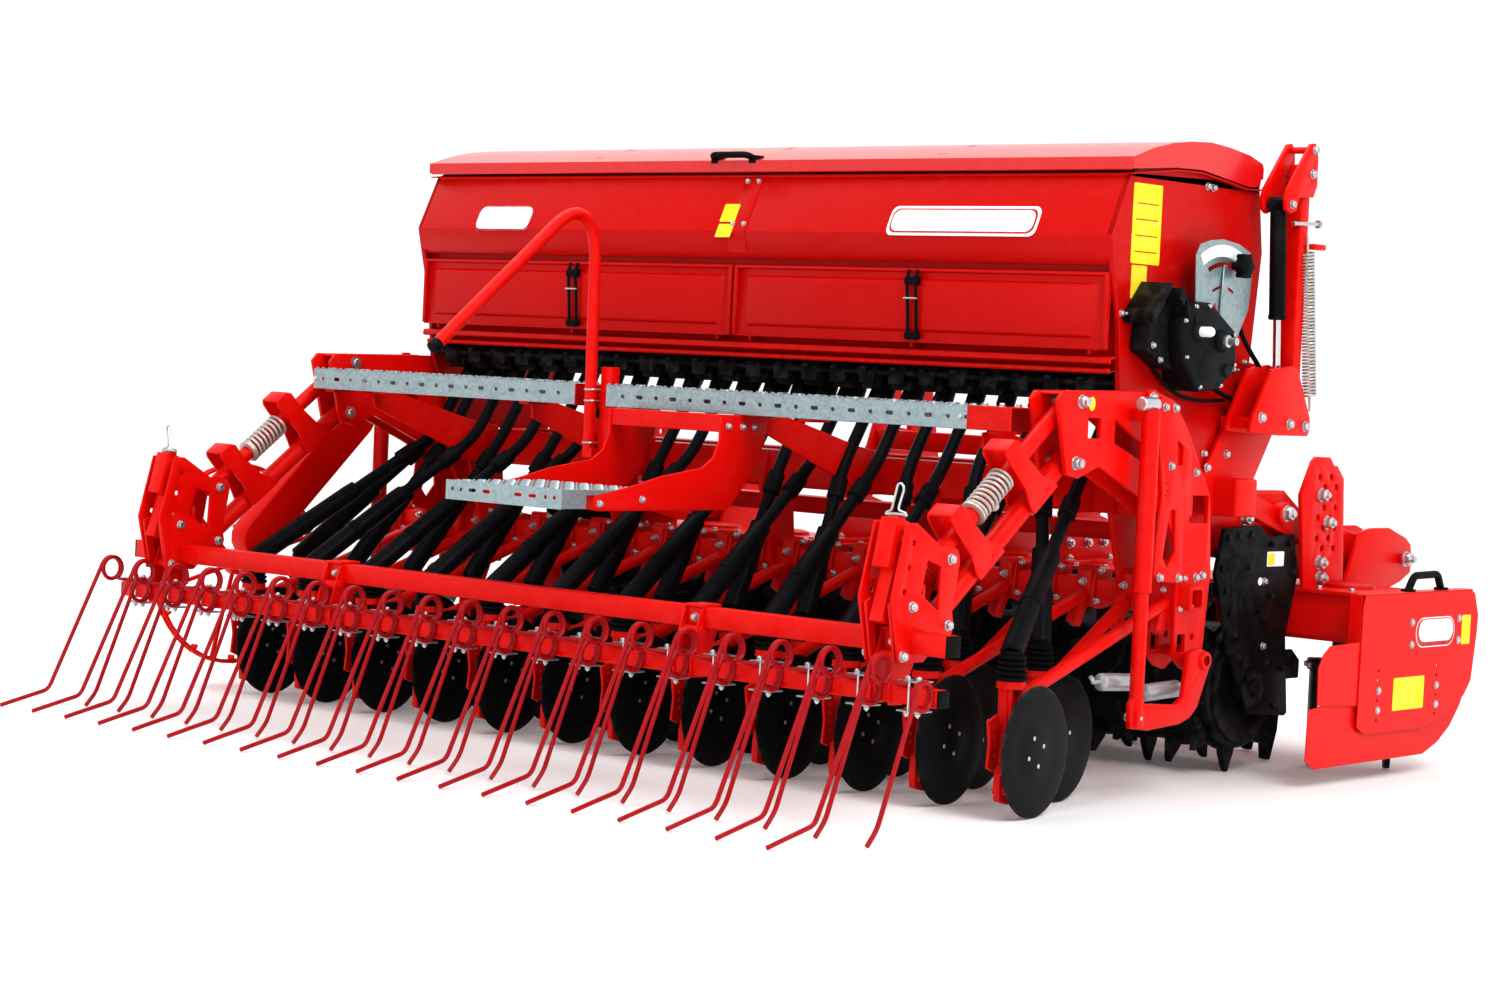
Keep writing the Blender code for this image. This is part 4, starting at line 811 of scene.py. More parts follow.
    lead = rounded([(start + 0.03, -0.165, 1.235), (start + 0.04, -0.15, 1.18), (start + 0.046, -0.11, 1.13),
                (start + 0.04, -0.04, 1.085), (start + 0.03, -0.02, 1.03), (start + 0.03, -0.06, 0.992),
                (start + 0.03, -0.15, 1.0), (start + 0.02, -0.29, 1.045)], 0.05, 4)
    cable = [wire(lead, 0.0065, RUBBER, 3)]
    cable.append(wire(rounded([(start + 0.01, -0.52, 1.085), (start + 0.02, -0.42, 1.01),
                    (start + 0.02, -0.3, 0.995), (start + 0.02, -0.18, 1.0)], 0.05), 0.005, RUBBER))
    fixed(cable, "sensor_lead", "black_plastic")
    plug = [box(start + 0.012, start + 0.046, -0.115, -0.07, 0.972, 1.01, BLUE, 0.004, 2),
            box(start + 0.016, start + 0.042, -0.07, -0.048, 0.978, 1.004, BLUE, 0.003, 2)]
    fixed(plug, "sensor_plug", "black_plastic")


def make_metering_row():
    """The row of seed meters below the covers, with their shaft and shutters."""
    model = [box(-0.033, 0.033, -0.618, -0.48, 0.985, 1.05, BLACK, 0.006, 2),
            turned([(-0.03, 0), (-0.03, 0.026), (0.03, 0.026), (0.03, 0)], (0, -0.61, 1.03), RIGHT, BLACK,
                16),
            box(-0.01, 0.01, -0.66, -0.61, 1.036, 1.044, BLACK, 0.002),
            box(-0.026, 0.026, -0.64, -0.632, 1.0, 1.04, BLACK, 0.002),
            rod((0, -0.545, 0.99), (0, -0.56, 0.955), 0.024, BLACK, 14)]
    places = [move(-1.15 + 0.1 * index, 0, 0) for index in range(24)]
    row = [copies(joined(model), places), rod((-1.235, -0.63, 1.03), (1.235, -0.63, 1.03), 0.009, BLACK, 10),
            rod((-1.235, -0.655, 1.06), (1.235, -0.655, 1.06), 0.007, CAST_RED, 10)]
    fixed(row, "seed_meters", "black_plastic")


# ---------------------------------------------------------------- footboard, step and rail

PLANK_TOP = 0.963
PLANK_REAR = -1.083
PLANK_FRONT = -0.97
PLANK_END = 1.2547
ZINC_END = 1.123


def plank_section(high=PLANK_TOP):
    return [(PLANK_REAR, 0.905), (PLANK_REAR + 0.003, 0.905), (PLANK_REAR + 0.003, high - 0.003),
            (PLANK_FRONT - 0.003, high - 0.003), (PLANK_FRONT - 0.003, 0.905), (PLANK_FRONT, 0.905),
            (PLANK_FRONT, high), (PLANK_REAR, high)]


def make_footboard():
    holes = [window([(-0.191, PLANK_REAR - 0.01), (-0.076, PLANK_REAR - 0.01), (-0.076, PLANK_REAR + 0.06),
                (-0.191, PLANK_REAR + 0.06)], 0.9, 0.97, "z")]
    for index in range(40):
        x = -1.215 + 0.06 * index
        if -0.21 < x < -0.055:
            continue
        length = 0.024 if index % 2 else 0.013
        holes.append(slotted(x, 0.934, length, 0.009, PLANK_REAR - 0.005, PLANK_REAR + 0.003, "y"))
    board = slab(plank_section(), -PLANK_END, ZINC_END, ZINC, soft=0, holes=holes)
    parts = [softened(board, 0.0012)]
    # Serrated grip: raised collars on the deck and a row of teeth on each long edge.
    collar = turned([(0, 0.011), (0.004, 0.009), (0.004, 0.006), (0, 0.005)], (0, 0, 0), UP, ZINC, 10)
    spots = []
    for index in range(38):
        for row in range(2):
            x, y = -1.205 + 0.061 * index + 0.03 * row, -1.048 + 0.044 * row
            if not (-0.215 < x < -0.055 and y < -1.02):
                spots.append(move(x, y, PLANK_TOP))
    parts.append(copies(collar, spots))
    tooth = slab([(-0.007, 0.0), (0.007, 0.0), (0.003, 0.0045), (-0.003, 0.0045)], 0, 0.003, ZINC, "y",
            soft=0)
    teeth = []
    for index in range(94):
        x = -1.24 + 0.025 * index
        teeth.append(move(x, PLANK_FRONT - 0.003, PLANK_TOP - 0.0002))
        if not -0.2 < x < -0.066:
            teeth.append(move(x, PLANK_REAR, PLANK_TOP - 0.0002))
    parts.append(copies(tooth, teeth))
    fixed(parts, "footboard_tread", "galvanised", "footboard")

    ends = [slab(plank_section(), ZINC_END + 0.0005, PLANK_END, CAST_RED, soft=0.001),
            box(-0.192, -0.189, PLANK_REAR, PLANK_REAR + 0.062, 0.903, 0.962, CAST_RED, 0.0008),
            box(-0.078, -0.075, PLANK_REAR, PLANK_REAR + 0.062, 0.903, 0.962, CAST_RED, 0.0008)]
    for x in (-1.2, -0.4, 0.6, 1.2):
        ends.append(box(x - 0.02, x + 0.02, -1.068, -0.985, 0.897, 0.906, RED))
    fixed(ends, "footboard_brackets", "machine_red")
    nuts = bolts([(x, y, PLANK_TOP) for x in (1.16, 1.21) for y in (-1.06, -0.992)], UP, 0.014, 0.007)
    more = bolts([(x, PLANK_REAR, 0.934) for x in (-1.243, 1.105)], BACK, 0.012, 0.006)
    fixed([nuts, more], "footboard_bolts", "bright_steel")


def make_loading_step():
    arm = [(-0.975, 0.9047), (-0.985, 0.84), (-1.036, 0.744), (-1.12, 0.662), (-1.596, 0.662),
            (-1.612, 0.676), (-1.607, 0.7), (-1.48, 0.722), (-1.369, 0.748), (-1.222, 0.769), (-1.18, 0.795),
            (-1.159, 0.84), (-1.159, 0.9047)]
    red = [red_plate(arm, 0.01, 0.018), red_plate(arm, 0.397, 0.405)]
    red.append(box(0.014, 0.401, -1.6, -1.56, 0.664, 0.699, RED))
    red.append(box(0.014, 0.401, -1.455, -1.42, 0.664, 0.699, RED))
    red.append(box(0.018, 0.397, -1.155, -1.115, 0.86, 0.9045, RED))
    # The post that the handrail is clamped to, and the tie to the step.
    red.append(box(-0.1, 0.014, -1.05, -1.02, 0.77, 0.85, RED))
    red.append(box(-0.118, -0.08, -1.062, -1.028, 0.765, 1.01, RED, 0.003, 2))
    red.append(box(-0.15, -0.112, -1.09, -1.058, 0.766, 0.792, RED, 0.002))
    fixed(red, "loading_step_frame", "machine_red", "loading_step")

    tread = box(0.012, 0.403, -1.724, -1.4, 0.7, 0.714, ZINC, 0.0015)
    lozenge = rod((0, 0, 0), (0, 0, 0.0035), 0.0135, ZINC, 6, soft=0)
    pick(lozenge)
    edit_all()
    bpy.ops.transform.resize(value=(1, 0.34, 1))
    leave()
    faces_where(lozenge, lambda centre, normal: normal.z > 0.9)
    bpy.ops.transform.resize(value=(0.72, 0.6, 1))
    leave()
    spots = []
    for column in range(15):
        for row in range(12):
            tilt = Matrix.Rotation(radians(45 if (column + row) % 2 else -45), 4, "Z")
            spots.append(move(0.03 + 0.0255 * column, -1.706 + 0.0262 * row, 0.7138) @ tilt)
    plate_holes = [bored(x, 0.694, 0.005, -1.727, -1.7235, "y", 12) for x in (0.03, 0.06, 0.355, 0.385)]
    plate_holes += [slotted(x, 0.694, 0.026, 0.008, -1.727, -1.7235, "y") for x in (0.1, 0.15, 0.26, 0.31)]
    front = slab([(0.006, 0.667), (0.409, 0.667), (0.409, 0.716), (0.006, 0.716)], -1.7268, -1.7235, ZINC,
            "y", soft=0.0006, holes=plate_holes)
    lips = [box(0.006, 0.0095, -1.7235, -1.64, 0.668, 0.715, ZINC, 0.0006),
            box(0.4055, 0.409, -1.7235, -1.64, 0.668, 0.715, ZINC, 0.0006)]
    fixed([tread, copies(lozenge, spots), front] + lips, "loading_step_tread", "galvanised")
    marks = [(-1.59, 0.68), (-1.44, 0.69), (-1.075, 0.875), (-1.13, 0.875), (-1.03, 0.875)]
    steel = [side_bolts(0.405, marks, 0.015, 0.007, 0.004),
            side_bolts(0.01, marks, 0.015, 0.007, 0.004, way=LEFT)]
    fixed(steel, "loading_step_bolts", "bright_steel")


def make_handrail():
    x, y = -0.1348, -1.0785
    knee, tip = Vector((x, -1.2285, 1.385)), Vector((-0.138, -1.656, 1.039))
    route = [(x, y, 0.786), (x, -1.0865, 1.32), (x, -1.1025, 1.378), (x, -1.1405, 1.412), (x, -1.1855, 1.41),
            knee, tip]
    bar = wire(rounded(route, 0.035, 4), 0.0165, RED, 4)
    plates = [box(-0.1525, -0.118, -1.0605, -1.0565, 0.78, 0.83, RED, 0.001),
            box(-0.1525, -0.118, -1.0605, -1.0565, 0.9, 0.96, RED, 0.001)]
    fixed([bar] + plates, "handrail_tube", "machine_red", "handrail")
    loops = []
    for z in (0.806, 0.918, 0.948):
        bow = [(-0.1175, -1.06, z), (-0.1175, -1.083, z), (-0.122, -1.093, z), (-0.134, -1.0975, z),
                (-0.146, -1.093, z), (-0.152, -1.083, z), (-0.152, -1.06, z)]
        loops.append(wire(rounded(bow, 0.006, 3), 0.0032, BOLT))
    fixed(loops, "handrail_clamps", "bright_steel")
    cap = turned([(-0.022, 0.0172), (-0.02, 0.018), (0.001, 0.018), (0.003, 0.015), (0.003, 0)], tip,
            tip - knee, RUBBER, 20)
    settled(cap, "handrail_cap", "machine_frame", "black_plastic")


# ---------------------------------------------------------------- drill frame

ARM_OUTER = 1.345
UPPER_PIN = Vector((-0.925, 0.984))
LOWER_PIN = Vector((-0.938, 0.837))
LINK_RUN = Vector((-0.485, -0.37))
LINK_MIDDLE = 1.3
LINK_BORE = 0.0109


def arm_plate(low, high):
    outline = [(-1.02, 0.985), (-1.0, 1.007), (-0.603, 1.015), (-0.521, 0.994), (-0.448, 0.916),
            (-0.336, 0.755), (-0.316, 0.56), (-0.335, 0.373), (-0.353, 0.33), (-0.388, 0.31), (-0.43, 0.322),
            (-0.47, 0.354), (-0.475, 0.62), (-0.52, 0.69), (-0.646, 0.75), (-0.839, 0.829), (-0.925, 0.8),
            (-0.972, 0.808)]
    holes = [window([(-0.893, 0.897), (-0.84, 0.897), (-0.84, 0.946), (-0.893, 0.946)], low, high),
            window([(-0.78, 0.945), (-0.661, 0.887), (-0.657, 0.843), (-0.779, 0.886)], low, high),
            window([(-0.455, 0.362), (-0.42, 0.362), (-0.42, 0.408), (-0.455, 0.408)], low, high),
            window([(-0.43, 0.688), (-0.344, 0.688), (-0.344, 0.758), (-0.43, 0.758)], low, high),
            bored(-0.387, 0.4, 0.009, low, high)]
    return red_plate(outline, low, high, holes=holes)


def slot_plate(low, high):
    outline = [(-0.606, 0.995), (-0.59, 1.004), (-0.543, 0.997), (-0.444, 0.867), (-0.442, 0.779),
            (-0.476, 0.747), (-0.455, 0.538), (-0.55, 0.544), (-0.59, 0.56), (-0.588, 0.62), (-0.571, 0.763),
            (-0.606, 0.952)]
    holes = [window([(-0.531, 0.723), (-0.507, 0.723), (-0.499, 0.619), (-0.532, 0.58), (-0.553, 0.604)], low,
                high),
            window([(-0.512, 0.898), (-0.485, 0.882), (-0.484, 0.835), (-0.509, 0.834)], low, high)]
    for y, z in ((-0.556, 0.76), (-0.556, 0.79), (-0.548, 0.77)):
        holes.append(bored(y, z, 0.003, low, high, sides=8))
    return slab(outline, low, high, RED, soft=0.0018, rounds=2, holes=holes)


def make_drill_arms():
    stay = [(-0.718, 0.191), (-0.64, 0.182), (-0.5, 0.19), (-0.455, 0.203), (-0.422, 0.229), (-0.375, 0.325),
            (-0.381, 0.352), (-0.398, 0.37), (-0.425, 0.377), (-0.455, 0.373), (-0.472, 0.362),
            (-0.49, 0.257), (-0.52, 0.24), (-0.66, 0.25), (-0.676, 0.272), (-0.7, 0.274), (-0.724, 0.25)]
    lever = slab(stay, 1.38, 1.395, RED, soft=0.003, rounds=2, holes=[bored(-0.4, 0.345, 0.013, 1.38, 1.395)])
    red = [arm_plate(1.255, 1.267), arm_plate(1.333, 1.345), slot_plate(1.3455, 1.3535), lever,
           rod((1.257, -0.375, 0.36), (1.335, -0.375, 0.36), 0.015, RED),
           rod((1.34, -0.4, 0.345), (1.381, -0.4, 0.345), 0.019, RED),
           turned([(0, 0.013), (0, 0.024), (0.006, 0.022), (0.006, 0.013)], (1.395, -0.4, 0.345), RIGHT,
                  RED, 20),
           # The adjusting strut: a tube that slides in a wider one, with its head block.
           rod((1.388, -0.69, 0.205), (1.388, -0.69, 0.56), 0.018, RED, 20),
           rod((1.388, -0.69, 0.53), (1.388, -0.69, 0.972), 0.023, RED, 24, 0.003),
           rod((1.388, -0.69, 0.524), (1.388, -0.69, 0.534), 0.0245, RED, 24, 0.002),
           box(1.34, 1.384, -0.706, -0.674, 0.94, 0.975, RED, 0.004, 2),
           box(1.369, 1.4065, -0.706, -0.674, 0.193, 0.24, RED, 0.006, 2),
           box(1.345, 1.3555, -0.652, -0.622, 0.972, 1.02, RED, 0.003, 2),
           # Folded flange along the plate's rear edge and the block between the plates.
           box(1.267, 1.333, -0.47, -0.458, 0.42, 0.6, RED, 0.002),
           box(1.267, 1.333, -0.985, -0.88, 0.999, 1.005, RED, 0.002),
           box(1.267, 1.333, -0.87, -0.64, 1.003, 1.009, RED, 0.002),
           # The forward stay beside the packer arm.
           slab([(-0.168, 0.765), (-0.132, 0.815), (0.378, 0.665), (0.372, 0.622), (0.345, 0.612)],
                1.195, 1.22, RED, soft=0.004, rounds=2)]
    arms = joined(both_sides(red))

    body = [box(-1.338, 1.338, -0.5, -0.4, 0.7, 0.8, RED, 0.008, 3),
            box(-1.338, 1.338, -0.2, -0.1, 0.7, 0.8, RED, 0.008, 3)]
    for x in (-0.9, -0.3, 0.3, 0.9):
        body.append(box(x - 0.03, x + 0.03, -0.41, -0.19, 0.715, 0.775, RED, 0.005, 2))
    # Brackets from the rear beam to the footboard and up to the hopper.
    gusset = [(-0.985, 0.897), (-0.985, 0.86), (-0.56, 0.7), (-0.48, 0.7), (-0.48, 0.812), (-0.6, 0.83),
            (-0.9, 0.904)]
    for x in (-1.1, -0.45, 0.4, 1.1):
        body.append(slab(gusset, x - 0.004, x + 0.004, RED))
    hanger = [(-0.5, 0.8), (-0.53, 0.7), (-0.485, 0.56), (-0.455, 0.455), (-0.385, 0.455), (-0.375, 0.56),
            (-0.4, 0.8)]
    for x in (-1.17, -0.6, 0.0, 0.6, 1.17):
        low, high = x - 0.006, x + 0.006
        bar_hole = window([(-0.4505, 0.4695), (-0.3895, 0.4695), (-0.3895, 0.5305), (-0.4505, 0.5305)], low,
                high)
        body.append(slab(hanger, low, high, RED, soft=0.002, holes=[bar_hole]))
    # The chain case that reaches back to the ground wheel.
    back, foot = Vector((-0.66, 0.86)), Vector((-1.13, 0.41))
    along = (foot - back).normalized()
    side = Vector((-along.y, along.x)) * 0.06
    case = []
    for centre, away in ((back, -along), (foot, along)):
        for a, b in arc((0, 0), 0.06, -90, 90, 6):
            case.append(tuple(centre + away * (a - 0.06) + Vector((-away.y, away.x)) * b))
    body.append(slab(case, -1.528, -1.462, RED, soft=0.008, rounds=3))
    inner_case = [tuple((Vector(point) - (back + foot) / 2) * 0.9 + (back + foot) / 2) for point in case]
    body.append(slab(inner_case, -1.536, -1.527, RED, soft=0.004, rounds=2))
    body += [rod((-1.5, -1.065, 0.386), (-1.534, -1.065, 0.386), 0.055, RED, 24),
            rod((-1.49, -0.7, 0.83), (-1.34, -0.7, 0.83), 0.03, RED, 20)]
    fixed([arms] + body, "drill_frame_welded", "machine_red", "drill_frame")

    steel = []
    on_slots = [(-0.578, 0.978), (-0.532, 0.977), (-0.539, 0.832), (-0.48, 0.552), (-0.565, 0.555)]
    on_arm = [(-0.387, 0.551), (-0.358, 0.555), (-0.411, 0.816), (-0.362, 0.829), (-0.403, 0.321)]
    right = [side_bolts(1.3535, on_slots, 0.017, 0.008, 0.004),
            side_bolts(ARM_OUTER, on_arm, 0.017, 0.008, 0.004),
            bolts([(1.395, -0.69, 0.216), (1.355, -0.637, 1.0)], RIGHT, 0.022, 0.008, 0.004),
            bolts([(1.369, -0.69, 0.216)], LEFT, 0.022, 0.008),
            pin_end((1.25, *UPPER_PIN), RIGHT, 0.011, 0.118),
            pin_end((1.25, *LOWER_PIN), RIGHT, 0.011, 0.118),
            bolts([(1.345, *UPPER_PIN), (1.345, *LOWER_PIN)], RIGHT, 0.026, 0.013),
            bolts([(1.255, *UPPER_PIN), (1.255, *LOWER_PIN)], LEFT, 0.022, 0.01),
            rod((1.388, -0.737, 0.985), (1.388, -0.67, 0.985), 0.017, BOLT, 20, 0.003)]
    # Gas springs of the coulter bar, with their end caps and hooks.
    for rear, front in (((-0.765, 0.302), (-0.611, 0.294)), ((-0.58, 0.265), (-0.422, 0.269))):
        rear, front = Vector((1.33, *rear)), Vector((1.33, *front))
        way, length = (front - rear).normalized(), (front - rear).length
        right.append(turned([(0, 0), (0, 0.014), (0.004, 0.022), (length - 0.004, 0.022), (length, 0.014),
                    (length, 0)], rear, way, SILVER, 24))
        right.append(wire([rear + way * 0.002, rear - way * 0.03, rear - way * 0.04 + Vector((0, 0, 0.012))],
                0.006, BOLT))
        right.append(wire([front - way * 0.002, front + way * 0.016], 0.006, BOLT))
    steel += both_sides(right)
    rivets = []
    for step in range(6):
        centre = back.lerp(foot, (step + 0.5) / 6)
        for sign in (1, -1):
            rivets.append((-1.536, *(centre + side * sign * 0.8)))
    steel.append(bolts(rivets, LEFT, 0.01, 0.004))
    steel.append(rod((-1.5, -1.065, 0.366), (-1.627, -1.065, 0.366), 0.012, BOLT, 16))
    steel.append(bolts([(x, -0.5, 0.74) for x in (-1.17, -0.6, 0.6, 1.17)], BACK, 0.018, 0.009))
    fixed(steel, "drill_frame_fixings", "bright_steel")
    oval = [(-0.882 + cos(angle) * 0.013, 0.98 + sin(angle) * 0.017)
            for angle in (2 * pi * step / 20 for step in range(20))]
    marks = both_sides([slab(oval, ARM_OUTER + 0.0002, ARM_OUTER + 0.0008, YELLOW, soft=0)])
    fixed(marks, "drill_frame_labels", "galvanised")


def make_marker_tower():
    base = [(-0.22, 0.702), (-0.07, 0.702), (0.075, 0.915), (0.075, 0.97), (0.01, 1.095), (-0.04, 1.1),
            (-0.13, 0.98), (-0.25, 0.81)]
    clevis = [(-0.2, 0.922), (-0.06, 0.915), (0.085, 0.915), (0.098, 0.935), (0.092, 0.965), (0.02, 1.09),
            (-0.01, 1.098), (-0.11, 1.085), (-0.19, 0.96)]
    parts = [red_plate(base, 1.255, 1.267), red_plate(clevis, 1.285, 1.297), red_plate(clevis, 1.355, 1.367),
            box(1.257, 1.357, 0.028, 0.07, 0.918, 0.962, RED),
            box(1.302, 1.35, 0.022, 0.062, 0.93, 1.625, RED, 0.005, 2),
            box(1.267, 1.357, -0.185, -0.12, 0.93, 0.96, RED),
            box(1.345, 1.372, 0.062, 0.12, 1.405, 1.42, RED, 0.003, 2)]
    fixed(parts, "marker_tower", "machine_red")
    top, foot = Vector((1.356, 0.05, 1.428)), Vector((1.356, 0.106, 0.992))
    way = (foot - top).normalized()
    coil = coiled(top + way * 0.03, foot - way * 0.03, 0.0165, 44, 10)
    steel = [wire(coil, 0.0034, SPRING, 1),
            wire(rounded([top + Vector((0, 0, 0.014)), top, top + way * 0.032], 0.008), 0.0034, SPRING),
            wire(rounded([foot - way * 0.032, foot, foot + Vector((0, 0, -0.012))], 0.008), 0.0034, SPRING),
            bolts([(1.367, -0.01, 0.945), (1.367, 0.07, 0.94), (1.367, -0.15, 0.96)], RIGHT, 0.022, 0.009,
                0.003),
            bolts([(1.267, -0.17, 0.76), (1.267, -0.11, 0.76), (1.267, -0.15, 0.86)], RIGHT, 0.018, 0.008),
            rod((1.276, -0.01, 0.945), (1.371, -0.01, 0.945), 0.0085, BOLT, 16),
            rod((1.28, 0.04, 1.6), (1.374, 0.04, 1.6), 0.0085, BOLT, 16),
            bolts([(1.367, 0.04, 1.6)], RIGHT, 0.02, 0.007),
            rod((1.35, -0.014, 1.468), (1.35, 0.116, 1.474), 0.006, BOLT, 12),
            turned([(0, 0), (0, 0.011), (0.01, 0.011), (0.01, 0)], (1.35, 0.105, 1.4735), AHEAD, BOLT, 14)]
    fixed(steel, "marker_tower_spring", "bright_steel")


# ---------------------------------------------------------------- coulters

TOE = radians(6)
DISC_AXIS = Vector((cos(TOE), sin(TOE), 0))


def disc_centres():
    for row, offset, y in (("front", 0.0, FIRST_DISC.y), ("rear", 0.125, -1.094)):
        for index in range(12):
            centre = Vector((FIRST_DISC.x + offset + 0.25 * index, y, DISC_RADIUS))
            yield "disc_%s_%02d" % (row, index + 1), centre


def coulter_model(bar_y):
    """Boot, arm and clamp of one coulter whose disc is at the origin; the bar lies bar_y in front of it."""
    boot = [(-0.085, 0.165), (-0.02, 0.165), (-0.006, 0.12), (0.032, 0.05), (0.034, 0.01), (0.026, -0.03),
            (-0.02, -0.08), (-0.05, -0.125), (-0.09, -0.115), (-0.092, -0.06), (-0.074, -0.02),
            (-0.075, 0.04)]
    parts = [slab(boot, -0.05, -0.03, CAST_RED, soft=0.004, rounds=2)]
    rib = [(-0.078, 0.16), (-0.068, 0.16), (-0.058, 0.03), (-0.066, -0.09), (-0.082, -0.1), (-0.07, 0.02)]
    parts.append(slab(rib, -0.06, -0.02, CAST_RED, soft=0.003, rounds=2))
    parts.append(turned([(0, 0), (0, 0.036), (0.012, 0.034), (0.018, 0.024), (0.034, 0.022), (0.034, 0)],
            -DISC_AXIS * 0.044, DISC_AXIS, CAST_RED, 18))
    parts.append(turned([(0, 0.02), (0, 0.036), (0.022, 0.034), (0.022, 0.02)], (-0.04, -0.0525, 0.15), UP,
            CAST_RED, 18))
    # The rear plate with its row of setting holes.
    comb = [(-0.128, 0.075), (-0.092, 0.09), (-0.078, 0.06), (-0.082, -0.03), (-0.1, -0.045),
            (-0.124, -0.035), (-0.118, 0.02)]
    parts.append(slab(comb, -0.052, -0.044, CAST_RED, soft=0.0015,
            holes=[bored(-0.103 + 0.002 * step, 0.06 - 0.022 * step, 0.0045, -0.052, -0.044, sides=8)
                for step in range(4)]))
    high, low = Vector((-0.07, bar_y, 0.3425)), Vector((-0.045, -0.012, 0.125))
    way = (high - low).normalized()
    parts.append(rod(low - way * 0.03, high, 0.0165, RED, 20))
    parts.append(turned([(-0.01, 0), (-0.01, 0.017), (0.006, 0.023), (0.06, 0.021), (0.068, 0.017),
                (0.068, 0)], low - way * 0.02, way, CAST_RED, 16))
    # Clamp on the bar, with its trunnion ears and pressure block.
    clamp = [(bar_y - 0.048, 0.3), (bar_y - 0.036, 0.388), (bar_y - 0.01, 0.396), (bar_y + 0.04, 0.388),
            (bar_y + 0.044, 0.3), (bar_y + 0.01, 0.292), (bar_y - 0.02, 0.292)]
    for x in (-0.098, -0.05):
        parts.append(slab(clamp, x, x + 0.01, CAST_RED, soft=0.002))
    parts.append(box(-0.09, -0.048, bar_y - 0.046, bar_y - 0.03, 0.33, 0.392, CAST_RED, 0.004, 2))
    ear = [(bar_y - 0.1, 0.262), (bar_y - 0.075, 0.325), (bar_y - 0.04, 0.352), (bar_y - 0.04, 0.3),
            (bar_y - 0.07, 0.245)]
    parts.append(slab(ear, -0.084, -0.056, CAST_RED, soft=0.004, rounds=2))
    parts.append(rod((-0.102, bar_y - 0.02, 0.392), (-0.038, bar_y - 0.02, 0.392), 0.012, CAST_RED, 12))
    red = joined(parts)
    steel = [bolts([(-0.038, bar_y - 0.02, 0.392), (-0.04, bar_y + 0.02, 0.32),
                    (-0.04, bar_y - 0.032, 0.315)], RIGHT, 0.015, 0.008, 0.006),
            bolts([(-0.028, -0.052, 0.05), (-0.028, -0.07, -0.07)], RIGHT, 0.013, 0.006),
            bolts([(-0.07, bar_y - 0.046, 0.362)], BACK, 0.016, 0.01, 0.01)]
    return red, joined(steel)


def make_coulters():
    bar = box(-1.585, 1.375, -0.45, -0.39, 0.47, 0.53, RED, 0.006, 3)
    open_ends(bar, "x", 0.005, 0.04)
    red, steel = [bar], []
    for row, bar_y in (("front", 0.39), ("rear", 0.674)):
        body, fixings = coulter_model(bar_y)
        places = [shifted(centre) for name, centre in disc_centres() if row in name]
        red.append(copies(body, places))
        steel.append(copies(fixings, places))
    fixed(red, "coulter_castings", "machine_red", "coulter_rows")
    fixed(steel, "coulter_bolts", "bright_steel")


def make_discs():
    dish = [(-0.0052, 0.0), (-0.0052, 0.046), (-0.0024, 0.1), (-0.0016, 0.15), (-0.0004, 0.1568),
            (0.0004, 0.1568), (0.0018, 0.149), (0.0026, 0.1), (0.003, 0.062), (0.0052, 0.05), (0.0052, 0.0)]
    steel = turned(dish, (0, 0, 0), DISC_AXIS, DISC_BLACK, 48)
    along = DISC_AXIS
    aside = Vector((-along.y, along.x, 0))
    rivet = turned([(0, 0.0058), (0.0006, 0.0055), (0.001, 0.003), (0.001, 0)], (0, 0, 0), RIGHT, BOLT, 10)
    spots = []
    for a, b in arc((0, 0), 0.036, 20, 290, 3):
        spots.append(shifted(along * 0.005 + aside * a + Vector((0, 0, b))) @ facing(along))
    model = joined([steel, copies(rivet, spots)])
    for name, centre in disc_centres():
        disc = copied(model, shifted(centre))
        settled(disc, name.replace("disc", "coulter_disc"), name, "satin_black", name, smooth=25)
    bpy.data.objects.remove(model, do_unlink=True)


